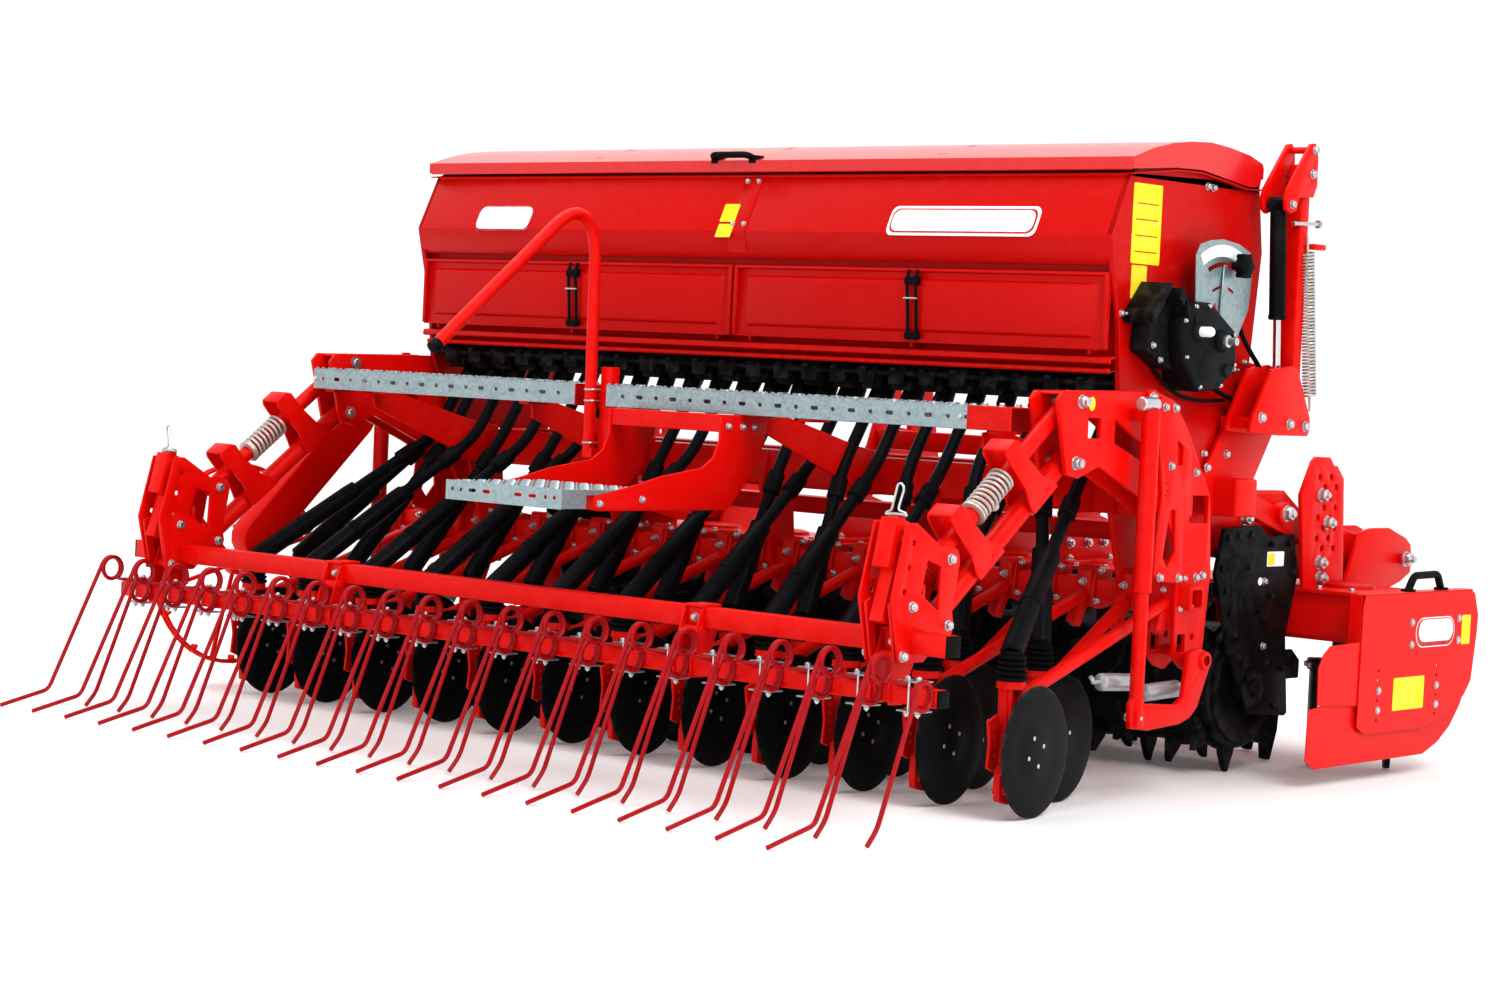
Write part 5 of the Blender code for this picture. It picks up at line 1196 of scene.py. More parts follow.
def make_seed_tubes():
    parts = [box(-1.21, 1.21, -0.56, -0.48, 0.985, 1.0595, BLACK, 0.006, 2)]
    sleeve = turned([(-0.03, 0.018), (-0.028, 0.023), (0.03, 0.0235), (0.034, 0.018)], (0, 0, 0), RIGHT,
            RUBBER, 18)
    bellows = [(0.075, 0.018), (0.072, 0.028)]
    for rib in range(5):
        height, grow = 0.064 - 0.0125 * rib, 0.0015 * rib
        bellows += [(height, 0.0265 + grow), (height - 0.004, 0.033 + grow), (height - 0.008, 0.033 + grow)]
    bellows += [(0.001, 0.033), (0.001, 0.0)]
    boot_cover = turned(bellows, (0, 0, 0), UP, RUBBER, 20)
    covers, sleeves = [], []
    for _, centre in disc_centres():
        boot = Vector((centre.x - 0.04, centre.y - 0.0525, centre.z + 0.1653))
        start = Vector((max(-1.18, min(1.18, boot.x * 0.87)), -0.52, 1.0))
        bend = Vector((start.x, -0.66, 0.78))
        bottom = boot + Vector((0, 0, 0.075))
        run = (bottom - bend).normalized()
        upper_end = bend.lerp(bottom, 0.5)
        parts.append(wire(rounded([start, Vector((start.x, -0.565, 0.93)), bend, upper_end], 0.06, 4), 0.0165,
                HOSE_BLACK, 3))
        lower_start = bend.lerp(bottom, 0.44)
        length = (bottom - lower_start).length
        parts.append(turned([(0, 0.017), (0.003, 0.0245), (0.03, 0.0262), (length - 0.01, 0.0275),
                    (length + 0.012, 0.0275), (length + 0.016, 0.02)], lower_start, run, HOSE_BLACK, 20))
        sleeves.append(shifted(bend.lerp(bottom, 0.16)) @ facing(run))
        parts.append(turned([(-0.012, 0.026), (-0.011, 0.029), (0.011, 0.029), (0.012, 0.026)],
                lower_start + run * (length * 0.52), run, RUBBER, 20))
        covers.append(shifted(boot))
    parts.append(copies(sleeve, sleeves))
    parts.append(copies(boot_cover, covers))
    fixed(parts, "seed_hoses", "black_plastic", "seed_tubes")


# ---------------------------------------------------------------- links of the following harrow

def link_point(pin, station, lift=0.0):
    """A point in the YZ plane this far along a link from its front pin, lifted square to it."""
    along = LINK_RUN.normalized()
    up = Vector((along.y, -along.x))
    if up.y < 0:
        up = -up
    return pin + along * station + up * lift


def make_lower_link(side, sign):
    x, parts = LINK_MIDDLE, []
    length = LINK_RUN.length
    start, end = link_point(LOWER_PIN, -0.02), link_point(LOWER_PIN, length + 0.02)
    tube = rod((x, *start), (x, *end), 0.0255, RED, 28, 0.003)
    parts.append(cut(tube,
            [bored(*LOWER_PIN, LINK_BORE, x - 0.03, x + 0.03),
                bored(*(LOWER_PIN + LINK_RUN), LINK_BORE, x - 0.03, x + 0.03)]))
    for station in (0.15, 0.4):
        outline = [(station - 0.075, -0.012), (station - 0.06, 0.022), (station - 0.038, 0.045),
                (station - 0.014, 0.12), (station - 0.008, 0.172), (station + 0.004, 0.184),
                (station + 0.045, 0.184), (station + 0.052, 0.172), (station + 0.05, 0.145),
                (station + 0.034, 0.06), (station + 0.042, 0.01), (station + 0.036, -0.012)]
        cheek = [tuple(link_point(LOWER_PIN, a, b)) for a, b in outline]
        for low, high in ((0.0295, 0.0355), (-0.0355, -0.0295)):
            parts.append(red_plate(cheek, x + low, x + high,
                    holes=[bored(*link_point(LOWER_PIN, station - 0.03, 0.01), 0.003, x + low, x + high,
                        sides=8)]))
        for a_low, a_high, b_low, b_high in ((station - 0.06, station + 0.03, 0.0, 0.018),
                (station + 0.003, station + 0.046, 0.177, 0.1845)):
            corners = [(a_low, b_low), (a_high, b_low), (a_high, b_high), (a_low, b_high)]
            parts.append(red_plate([tuple(link_point(LOWER_PIN, a, b)) for a, b in corners], x - 0.033,
                    x + 0.033))
    settled(on_side(joined(parts), sign), "link_tube_lower_" + side, "lower_links", "machine_red",
            "lower_link_" + side)


def make_upper_link(side, sign):
    x, length = LINK_MIDDLE, LINK_RUN.length
    start, end = link_point(UPPER_PIN, -0.02), link_point(UPPER_PIN, length + 0.02)
    tube = rod((x, *start), (x, *end), 0.0205, RED, 28, 0.003)
    link = cut(tube,
            [bored(*UPPER_PIN, LINK_BORE, x - 0.03, x + 0.03),
                bored(*(UPPER_PIN + LINK_RUN), LINK_BORE, x - 0.03, x + 0.03)])
    settled(on_side(link, sign), "link_tube_upper_" + side, "upper_links", "machine_red",
            "upper_link_" + side)
    low = Vector((x, *link_point(UPPER_PIN, 0.317)))
    high = Vector((x, *link_point(UPPER_PIN, 0.438)))
    along = (high - low).normalized()
    steel = [wire(coiled(low, high, 0.0285, 8, 14), 0.0045, SPRING, 3)]
    for end, way in ((low, -along), (high, along)):
        steel.append(turned([(0, 0.021), (0, 0.033), (0.006, 0.033), (0.008, 0.028), (0.008, 0.021)], end,
                way, SPRING, 24))
    steel.append(bolts([(x + 0.01, *link_point(UPPER_PIN, 0.378, -0.026))], (0.45, -0.85, 0), 0.02, 0.012,
            0.012))
    settled(on_side(joined(steel), sign), "link_spring_" + side, "upper_links", "bright_steel")


def make_links():
    for side, sign in (("left", -1), ("right", 1)):
        make_lower_link(side, sign)
        make_upper_link(side, sign)


# ---------------------------------------------------------------- following harrow

def tine_points(entry, middle, drift, kink, radius=0.031):
    """A sprung tine up to its straight run, from the clamp and round a coil until it points at the kink."""
    x, centre = middle
    centre, aim = Vector(centre), Vector(kink) - Vector(centre)
    # The coil is left where its rim runs straight at the kink.
    leave_at = atan2(aim.y, aim.x) - pi / 2 + atan2(radius, sqrt(aim.length_squared - radius * radius))
    first = -radians(70)
    while leave_at < first + radians(400):
        leave_at += 2 * pi
    points, steps = [Vector(point) for point in entry], 30
    for step in range(steps + 1):
        angle = first + (leave_at - first) * step / steps
        points.append(Vector((x + drift * (step / steps - 0.5), centre.x + cos(angle) * radius,
                centre.y + sin(angle) * radius)))
    return points


def make_tine_units():
    red, steel = [], []
    tines = (([(-0.006, -1.585, 0.3425), (-0.03, -1.606, 0.345)], (-0.044, (-1.644, 0.378)), -0.013,
                (-1.841, 0.043), (-1.996, 0.0075)),
            ([(0.01, -1.57, 0.2905), (0.04, -1.59, 0.29)], (0.056, (-1.618, 0.322)), 0.013, (-1.765, 0.042),
                (-1.797, 0.0075)))
    for entry, middle, drift, kink, tip in tines:
        coil = tine_points(entry, middle, drift, kink)
        bend, end = Vector((coil[-1].x, *kink)), Vector((coil[-1].x, *tip))
        red.append(wire(coil + rounded([coil[-1], bend, end], 0.018, 5)[1:], 0.0058, TINE_RED, 2))
    # The clamp: a plate above and one below the beam, drawn together by a bow over its rear face.
    for low, high in ((0.3475, 0.3515), (0.2805, 0.2845)):
        steel.append(box(-0.036, 0.03, -1.594, -1.546, low, high, ZINC, 0.0008))
    steel.append(wire([(-0.004, -1.5905, 0.272), (-0.004, -1.5905, 0.36)], 0.0032, BOLT))
    steel.append(bolts([(x, -1.5785, 0.3515) for x in (-0.018, 0.014)], UP, 0.013, 0.007, 0.003))
    steel.append(bolts([(x, -1.5785, 0.2805) for x in (-0.018, 0.014)], DOWN, 0.013, 0.007, 0.005))
    places = [move((index - 9.5) * 0.146, 0, 0) for index in range(20)]
    settled(copies(joined(red), places), "harrow_tines", "following_harrow", "tine_red")
    settled(copies(joined(steel), places), "harrow_tine_clamps", "following_harrow", "galvanised")


def make_tine_carriers():
    upper, lower = UPPER_PIN + LINK_RUN, LOWER_PIN + LINK_RUN
    outline = [(upper.x + 0.03, upper.y), (upper.x + 0.02, upper.y + 0.024),
            (upper.x - 0.02, upper.y + 0.034), (upper.x - 0.04, upper.y + 0.03), (-1.545, 0.7), (-1.58, 0.7),
            (-1.625, 0.53), (-1.59, 0.385), (-1.5, 0.385), (lower.x - 0.02, 0.43), (lower.x + 0.022, 0.442),
            (lower.x + 0.03, lower.y), (lower.x + 0.022, lower.y + 0.028)]
    hole = [(-1.45, 0.6), (-1.5, 0.615), (-1.52, 0.54), (-1.455, 0.5)]
    sleeve = [(-1.586, 0.712), (-1.538, 0.7), (-1.566, 0.588), (-1.614, 0.6)]
    slide = [(-1.572, 0.64), (-1.546, 0.64), (-1.59, 0.47), (-1.621, 0.478)]
    strap = [(-1.618, 0.52), (-1.596, 0.53), (-1.565, 0.395), (-1.59, 0.388)]
    red, steel = [], []
    for low, high in ((1.25, 1.2575), (1.3425, 1.35)):
        holes = [window(hole, low, high)]
        for y, z in ((-1.555, 0.655), (-1.568, 0.6), (-1.58, 0.545)):
            holes.append(bored(y, z, 0.007, low, high, sides=12))
        red.append(red_plate(outline, low, high, holes=holes))
    red += [slab(sleeve, 1.276, 1.324, RED, soft=0.003, rounds=2),
            slab(slide, 1.281, 1.319, RED, soft=0.003, rounds=2),
            box(1.2575, 1.3425, -1.575, -1.54, 0.655, 0.67, RED, 0.002),
            slab(strap, 1.262, 1.27, RED), slab(strap, 1.33, 1.338, RED),
            box(1.2575, 1.3425, -1.505, -1.495, 0.4, 0.56, RED),
            rod((1.2575, *upper), (1.3425, *upper), 0.0105, RED, 20),
            rod((1.2575, *lower), (1.3425, *lower), 0.0105, RED, 20),
            box(1.284, 1.316, -1.578, -1.546, 0.7, 0.712, RED, 0.003, 2)]
    spots = [(-1.417, 0.616), (-1.416, 0.465), (-1.552, 0.511), (-1.578, 0.401)]
    steel += [side_bolts(1.35, spots, 0.02, 0.009, 0.004), side_bolts(1.25, spots, 0.02, 0.009, way=LEFT)]
    # The height pin with its ring clip standing on the box.
    steel.append(rod((1.27, -1.562, 0.716), (1.33, -1.562, 0.716), 0.0045, BOLT, 12))
    clip = [(1.272, -1.562, 0.72), (1.286, -1.562, 0.724), (1.296, -1.56, 0.77), (1.3, -1.56, 0.786),
            (1.312, -1.56, 0.786), (1.318, -1.56, 0.775), (1.304, -1.562, 0.726), (1.328, -1.562, 0.72)]
    steel.append(wire(rounded(clip, 0.01), 0.0028, BOLT))
    red, steel = both_sides(red), both_sides(steel)
    tube = open_ends(box(-1.45, 1.45, -1.55, -1.5, 0.405, 0.455, RED, 0.004, 2), "x", 0.004, 0.02)
    beam = open_ends(box(-1.46, 1.46, -1.586, -1.546, 0.296, 0.336, RED, 0.003, 2), "x", 0.003, 0.02)
    red += [tube, beam]
    hanger = [(-1.502, 0.456), (-1.552, 0.459), (-1.566, 0.44), (-1.594, 0.345), (-1.592, 0.29),
            (-1.544, 0.288), (-1.53, 0.33), (-1.5, 0.4)]
    for x in (-1.3, -0.59, 0.7, 1.3):
        for offset in (-0.03, 0.024):
            red.append(slab(hanger, x + offset, x + offset + 0.006, RED))
        red.append(box(x - 0.03, x + 0.03, -1.56, -1.492, 0.455, 0.462, RED, 0.0015))
        red.append(rod((x - 0.034, -1.56, 0.4), (x + 0.034, -1.56, 0.4), 0.012, RED, 16))
        steel.append(bolts([(x + 0.03, -1.57, 0.316), (x + 0.03, -1.525, 0.43)], RIGHT, 0.017, 0.008))
        steel.append(bolts([(x, -1.55, 0.43)], BACK, 0.016, 0.009, 0.004))
    settled(joined(red), "harrow_carriers", "following_harrow", "machine_red", "tine_harrow")
    settled(joined(steel), "harrow_carrier_bolts", "following_harrow", "bright_steel")
    plugs = []
    for x in (-1, 1):
        for y, z, side, half in ((-1.525, 0.43, 0.0245, 1.45), (-1.566, 0.316, 0.0195, 1.46)):
            low, high = sorted((x * (half - 0.004), x * (half + 0.004)))
            plugs.append(box(low, high, y - side, y + side, z - side, z + side, RUBBER, 0.002, 2))
    settled(joined(plugs), "harrow_end_plugs", "following_harrow", "black_plastic")


def make_ground_wheel():
    centre = Vector((-1.6, -1.065, 0.366))
    ring = arc((centre.y, centre.z), 0.2955, 0, 360, 48)
    parts = [wire([(x, y, z) for y, z in ring], 0.0058, RED, 2) for x in (centre.x - 0.008, centre.x + 0.008)]
    for step in range(12):
        angle = 2 * pi * step / 12
        paddle = box(-0.0125, 0.0125, 0.276, 0.3015, -0.004, 0.004, RED, 0.0015)
        paddle.data.transform(shifted(centre) @ Matrix.Rotation(angle, 4, "X"))
        parts.append(paddle)
    for y, z in arc((0, 0), 1, 15, 315, 5):
        ray = Vector((0, y, z))
        parts.append(rod(centre + ray * 0.025, centre + ray * 0.292, 0.0065, RED, 12))
    parts.append(turned([(-0.02, 0.0132), (-0.02, 0.03), (-0.012, 0.034), (0.015, 0.034), (0.025, 0.026),
                (0.025, 0.0132), (-0.02, 0.0132)], centre, RIGHT, RED, 24))
    settled(joined(parts), "ground_wheel_rim", "ground_wheel", "machine_red", "ground_wheel")


# ---------------------------------------------------------------- packer roller

ROLLER_MIDDLE = Vector((0, 0.09, 0.235))
FIRST_RING = -1.165
RING_STEP = 2.33 / 19


def make_packer_roller():
    drum = turned([(-1.205, 0), (-1.205, 0.16), (-1.2, 0.166), (-1.15, 0.166), (1.15, 0.166), (1.2, 0.166),
                (1.205, 0.16), (1.205, 0)], ROLLER_MIDDLE, RIGHT, BLACK, 48)
    # A tooth: a pointed flat blade that leans forward, welded on a ring.
    tooth = slab([(-0.034, 0.16), (0.036, 0.16), (0.03, 0.184), (0.012, 0.222), (0.002, 0.2345),
                (-0.004, 0.2335), (-0.012, 0.214), (-0.026, 0.186)], -0.009, 0.009, BLACK, soft=0.002)
    rings = [shifted(ROLLER_MIDDLE + Vector((FIRST_RING + RING_STEP * index, 0, 0))) for index in range(20)]
    teeth = []
    for index, ring in enumerate(rings):
        for step in range(8):
            angle = pi / 4 * step + (pi / 8 if index % 2 == 0 else 0)
            teeth.append(ring @ Matrix.Rotation(angle, 4, "X"))
    band = turned([(-0.006, 0.165), (-0.006, 0.176), (0.006, 0.176), (0.006, 0.165), (-0.006, 0.165)],
            (0, 0, 0), RIGHT, BLACK, 40)
    parts = [drum, copies(tooth, teeth), copies(band, rings)]
    parts.append(rod(ROLLER_MIDDLE - Vector((1.252, 0, 0)), ROLLER_MIDDLE + Vector((1.252, 0, 0)), 0.0195,
            BLACK, 24))
    for sign in (1, -1):
        parts.append(turned([(1.15, 0.15), (1.212, 0.15), (1.212, 0.12), (1.207, 0.11), (1.207, 0.04),
                    (1.216, 0.036), (1.216, 0.0)], ROLLER_MIDDLE, (sign, 0, 0), BLACK, 40))
    settled(joined(parts), "packer_drum", "roller", "satin_black", "packer_roller")


def make_packer_frame():
    arm = [(-0.23, 0.6), (-0.23, 0.6997), (-0.085, 0.6997), (0.0, 0.76), (0.28, 0.76), (0.4, 0.69),
            (0.88, 0.605), (0.905, 0.592), (0.915, 0.566), (0.905, 0.541), (0.88, 0.53), (0.4, 0.515),
            (0.2, 0.56)]
    red = [slab(arm, 1.15, 1.19, RED, soft=0.004, rounds=2),
            box(1.19, 1.2, -0.1, 0.26, 0.665, 0.755, RED, 0.004, 2),
            turned([(0, 0), (0, 0.03), (0.045, 0.03), (0.048, 0.026), (0.048, 0)], (1.19, 0.218, 0.701),
                RIGHT, RED, 24)]
    red = both_sides(red)
    red.append(box(-1.222, 1.222, -0.06, 0.01, 0.605, 0.655, RED, 0.006, 2))
    fixed(red, "packer_arms", "machine_red", "packer_frame")

    plate = [(-0.087, 0.663), (0.083, 0.671), (0.132, 0.639), (0.263, 0.645), (0.293, 0.534), (0.246, 0.371),
            (0.275, 0.157), (0.262, 0.15), (0.085, 0.164), (0.073, 0.174), (-0.038, 0.34), (-0.119, 0.543)]
    black = [slab(plate, 1.225, 1.238, BLACK, soft=0.002, rounds=2,
                holes=[bored(0.09, 0.235, 0.0205, 1.225, 1.238)]),
            turned([(0, 0.0205), (0, 0.052), (0.003, 0.054), (0.003, 0.0205)], (1.238, 0.09, 0.235), RIGHT,
                BLACK, 24),
            slab([(0.245, 0.33), (0.29, 0.33), (0.33, 0.3), (0.33, 0.25), (0.262, 0.25)], 1.226, 1.236, BLACK,
                soft=0.002)]
    marks = both_sides([sticker(0.129, 0.215, 0.559, 0.599, 1.2382, WHITE),
            sticker(0.133, 0.165, 0.563, 0.595, 1.2389, YELLOW, corner=0.003),
            slab(arc((0.1, 0.52), 0.011, 0, 337.5, 15), 1.2382, 1.2388, WHITE, soft=0)])
    heads = [(-0.07, 0.64), (-0.02, 0.645), (0.04, 0.648), (-0.095, 0.56), (-0.07, 0.5), (-0.045, 0.44),
            (-0.02, 0.38), (0.01, 0.32), (0.06, 0.26), (0.15, 0.3), (0.2, 0.18), (0.24, 0.28), (0.22, 0.37),
            (0.25, 0.45), (0.268, 0.54), (0.24, 0.62), (0.15, 0.62), (0.1, 0.44), (0.04, 0.56), (0.16, 0.48)]
    black.append(side_bolts(1.238, heads, 0.015, 0.007, 0.0, BLACK))
    black = both_sides(black)
    black.append(box(-1.222, 1.222, -0.11, -0.1, 0.47, 0.52, BLACK, 0.002))
    black.append(box(-1.222, 1.222, -0.1, -0.06, 0.48, 0.52, BLACK, 0.004, 2))
    between = [FIRST_RING + RING_STEP * (index + 0.5) for index in range(19)]
    scraper = slab([(-0.095, 0.5), (-0.085, 0.505), (-0.006, 0.388), (-0.016, 0.382)], -0.018, 0.018, BLACK)
    black.append(copies(scraper, [move(x, 0, 0) for x in between]))
    fixed(black, "packer_plates", "satin_black")
    fixed(marks, "packer_labels", "galvanised")
    steel = both_sides([side_bolts(1.2, ((-0.06, 0.728), (0.067, 0.687)), 0.03, 0.016, 0.01),
            side_bolts(1.238, [(0.218, 0.701)], 0.034, 0.018, 0.01),
            side_bolts(1.238, ((0.13, 0.345), (0.12, 0.52)), 0.016, 0.008)])
    steel.append(bolts([(x, -0.11, 0.496) for x in between], BACK, 0.016, 0.008))
    fixed(steel, "packer_bolts", "bright_steel")


# ---------------------------------------------------------------- power harrow

ROTORS = 10
ROTOR_STEP = 0.29


def rotor_x(index):
    return (index - (ROTORS - 1) / 2) * ROTOR_STEP


def make_trough():
    section = [(0.3, 0.372), (0.312, 0.36), (0.688, 0.36), (0.7, 0.372), (0.7, 0.46), (0.62, 0.5),
            (0.312, 0.5), (0.3, 0.488)]
    red = [red_plate(section, -1.45, 1.45),
            box(-1.452, 1.452, 0.285, 0.303, 0.488, 0.5, RED),
            box(-1.452, 1.452, 0.697, 0.712, 0.36, 0.374, RED)]
    comb = [(0.312, 0.844), (0.33, 0.856), (0.4, 0.855), (0.425, 0.83), (0.44, 0.832), (0.478, 0.796),
            (0.507, 0.479), (0.365, 0.459), (0.295, 0.49), (0.258, 0.753)]
    holes = []
    for row in range(8):
        for column in range(2):
            holes.append(bored(0.35 + 0.06 * column + 0.03 * (row % 2), 0.8 - 0.028 * row, 0.0105, 1.245,
                    1.257, sides=12))
    side = [red_plate(comb, 1.245, 1.257, holes=holes)]
    lug = [(0.56, 0.49), (0.64, 0.645), (0.7, 0.655), (0.8, 0.655), (0.9, 0.625), (0.93, 0.605), (0.94, 0.56),
            (0.935, 0.525), (0.88, 0.5), (0.69, 0.45), (0.62, 0.45)]
    for low, high in ((1.11, 1.122), (1.215, 1.227)):
        side.append(red_plate(lug, low, high))
    side.append(box(1.122, 1.215, 0.64, 0.652, 0.5, 0.64, RED))
    side.append(rod((1.1, 0.88, 0.566), (1.24, 0.88, 0.566), 0.0148, RED, 20))
    red += both_sides(side)
    gearbox = [(0.34, 0.49), (0.62, 0.49), (0.62, 0.69), (0.6, 0.73), (0.56, 0.757), (0.4, 0.757),
            (0.36, 0.735), (0.34, 0.7)]
    red.append(slab(gearbox, -0.16, 0.16, CAST_RED, soft=0.014, rounds=3))
    for x in (-0.11, -0.037, 0.037, 0.11):
        red.append(slab([(0.334, 0.5), (0.626, 0.5), (0.626, 0.68), (0.56, 0.762), (0.4, 0.762),
                    (0.334, 0.7)], x - 0.004, x + 0.004, CAST_RED, soft=0.002))
    red.append(turned([(0, 0), (0, 0.06), (0.02, 0.06), (0.024, 0.05), (0.06, 0.042), (0.06, 0)],
            (0, 0.61, 0.62), AHEAD, CAST_RED, 28))
    for index in range(ROTORS):
        red.append(turned([(0, 0), (0, 0.07), (0.01, 0.068), (0.016, 0.05), (0.016, 0)],
                (rotor_x(index), 0.46, 0.499), UP, CAST_RED, 24))
    fixed(red, "harrow_gear_trough", "machine_red", "harrow_trough")
    steel = []
    spots = [(0.362, 0.752), (0.4, 0.676), (0.366, 0.567), (0.372, 0.525)]
    right = [side_bolts(1.257, spots, 0.03, 0.018, 0.01),
            side_bolts(1.24, [(0.88, 0.566)], 0.034, 0.02, 0.012)]
    steel += both_sides(right)
    steel.append(bolts([(-1.4 + 0.1 * index, 0.305, 0.5) for index in range(29)], UP, 0.015, 0.008))
    steel.append(bolts([(-1.4 + 0.1 * index, 0.705, 0.374) for index in range(29)], UP, 0.013, 0.007))
    spline = turned([(0.05, 0), (0.05, 0.021), (0.13, 0.021), (0.132, 0.017), (0.14, 0.017), (0.142, 0.021),
                (0.185, 0.021), (0.189, 0.017), (0.189, 0)], (0, 0.61, 0.62), AHEAD, BOLT, 24)
    steel.append(spline)
    steel.append(bolts([(x, 0.63, z) for x, z in arc((0, 0.62), 0.051, 0, 300, 5)], AHEAD, 0.01, 0.005))
    fixed(steel, "harrow_trough_bolts", "bright_steel")


def make_hitch_frame():
    upright = [(0.28, 0.5003), (0.59, 0.5003), (0.76, 0.52), (0.94, 0.535), (0.972, 0.56), (0.979, 0.6),
            (0.965, 0.65), (0.93, 0.69), (0.83, 0.76), (0.74, 1.18), (0.715, 1.196), (0.68, 1.198),
            (0.62, 1.17), (0.48, 0.8)]
    openings = [[(0.5, 0.64), (0.64, 0.6), (0.74, 0.64), (0.68, 0.74), (0.56, 0.76)],
            [(0.59, 0.86), (0.68, 0.85), (0.68, 1.0), (0.64, 1.02)]]
    red = [slab(upright, 0.42, 0.44, RED, soft=0.003, rounds=2,
                holes=[window(opening, 0.42, 0.44) for opening in openings]),
            rod((0.41, 0.92, 0.6), (0.524, 0.92, 0.6), 0.014, CHROME, 20),
            box(0.38, 0.48, 0.3, 0.56, 0.5003, 0.512, RED),
            box(0.44, 0.452, 0.86, 0.96, 0.548, 0.66, RED, 0.003, 2),
            slab([(0.64, 1.02), (0.76, 1.12), (0.768, 1.165), (0.765, 1.21), (0.745, 1.232), (0.7, 1.24),
                    (0.63, 1.15)], 0.045, 0.06, RED, soft=0.003, rounds=2,
                holes=[bored(0.722, 1.188, 0.0135, 0.045, 0.06)])]
    red = both_sides(red)
    red.append(box(-0.43, 0.43, 0.63, 0.71, 1.07, 1.15, RED, 0.006, 2))
    red.append(box(-0.43, 0.43, 0.5, 0.56, 0.79, 0.85, RED, 0.005, 2))
    fixed(red, "headstock", "machine_red", "hitch_frame")
    cheek = [(0.35, 0.56), (0.44, 0.56), (0.52, 0.56), (0.66, 1.11), (0.53, 0.82)]
    steel = both_sides([side_bolts(0.44, cheek, 0.024, 0.012, 0.006),
            bolts([(0.4, 0.33, 0.512), (0.4, 0.53, 0.512), (0.46, 0.33, 0.512), (0.46, 0.53, 0.512)], UP,
                0.02, 0.01, 0.006)])
    steel.append(rod((-0.066, 0.722, 1.188), (0.066, 0.722, 1.188), 0.0125, CHROME, 20))
    fixed(steel, "headstock_bolts", "bright_steel")


def make_side_shields():
    face = 1.4915
    front = [(0.204, 0.15), (0.206, 0.47), (0.217, 0.503), (0.795, 0.503), (0.822, 0.492), (0.848, 0.429),
            (0.845, 0.38), (0.825, 0.248), (0.79, 0.208), (0.73, 0.171), (0.65, 0.145), (0.57, 0.128),
            (0.242, 0.13)]
    skirt = [(-0.031, 0.208), (0.23, 0.24), (0.8, 0.3), (0.825, 0.248), (0.79, 0.18), (0.736, 0.121),
            (0.67, 0.08), (0.591, 0.053), (0.008, 0.05), (-0.034, 0.075)]
    flap = [(0.001, 0.218), (-0.004, 0.317), (0.02, 0.352), (0.053, 0.373), (0.23, 0.378), (0.23, 0.205)]
    for side, sign in (("left", -1), ("right", 1)):
        holes = [bored(y, z, 0.0042, face, face + 0.003, sides=8) for y in (0.304, 0.625)
                for z in (0.164, 0.217, 0.271, 0.297)]
        red = [slab(front, face, face + 0.003, RED, soft=0.0012, holes=holes),
                slab(skirt, face - 0.011, face - 0.0075, RED, soft=0.0012),
                slab(flap, face - 0.004, face - 0.0005, RED, soft=0.0012),
                box(1.4503, face - 0.003, 0.33, 0.39, 0.4, 0.45, RED),
                box(1.4503, face - 0.003, 0.56, 0.62, 0.4, 0.45, RED),
                box(1.451, face + 0.003, 0.217, 0.812, 0.4985, 0.503, RED, 0.0015, 2),
                box(1.451, face - 0.002, 0.206, 0.209, 0.3, 0.502, RED, 0.001)]
        labels = [sticker(0.495, 0.712, 0.35, 0.432, face + 0.0031, WHITE, corner=0.038),
                sticker(0.498, 0.709, 0.353, 0.429, face + 0.0034, PLATE_RED, corner=0.035),
                sticker(0.51, 0.703, 0.365, 0.426, face + 0.0037, WHITE, corner=0.03),
                sticker(0.387, 0.556, 0.184, 0.273, face + 0.0031, YELLOW),
                sticker(0.754, 0.803, 0.35, 0.432, face + 0.0031, YELLOW)]
        spots = [(0.472, 0.421), (0.474, 0.36), (0.736, 0.424), (0.736, 0.363), (0.308, 0.243), (0.307, 0.19),
                (0.625, 0.243), (0.627, 0.19)]
        steel = [side_bolts(face + 0.003, spots, 0.017, 0.0036)]
        bow = rounded([(1.47, 0.482, 0.503), (1.472, 0.51, 0.545), (1.472, 0.64, 0.547),
                    (1.47, 0.668, 0.503)], 0.016, 5)
        grip = [wire(bow, 0.0105, RUBBER, 3),
                box(1.456, 1.486, 0.466, 0.5, 0.502, 0.51, RUBBER, 0.003, 2),
                box(1.456, 1.486, 0.65, 0.684, 0.502, 0.51, RUBBER, 0.003, 2)]
        groups = [on_side(joined(parts), sign) for parts in (red, labels, steel, grip)]
        settled(groups[0], "side_shield_sheet_" + side, "machine_frame", "machine_red", "side_shield_" + side)
        settled(groups[1], "side_shield_labels_" + side, "machine_frame", "galvanised")
        settled(groups[2], "side_shield_bolts_" + side, "machine_frame", "bright_steel")
        settled(groups[3], "side_shield_handle_" + side, "machine_frame", "black_plastic")


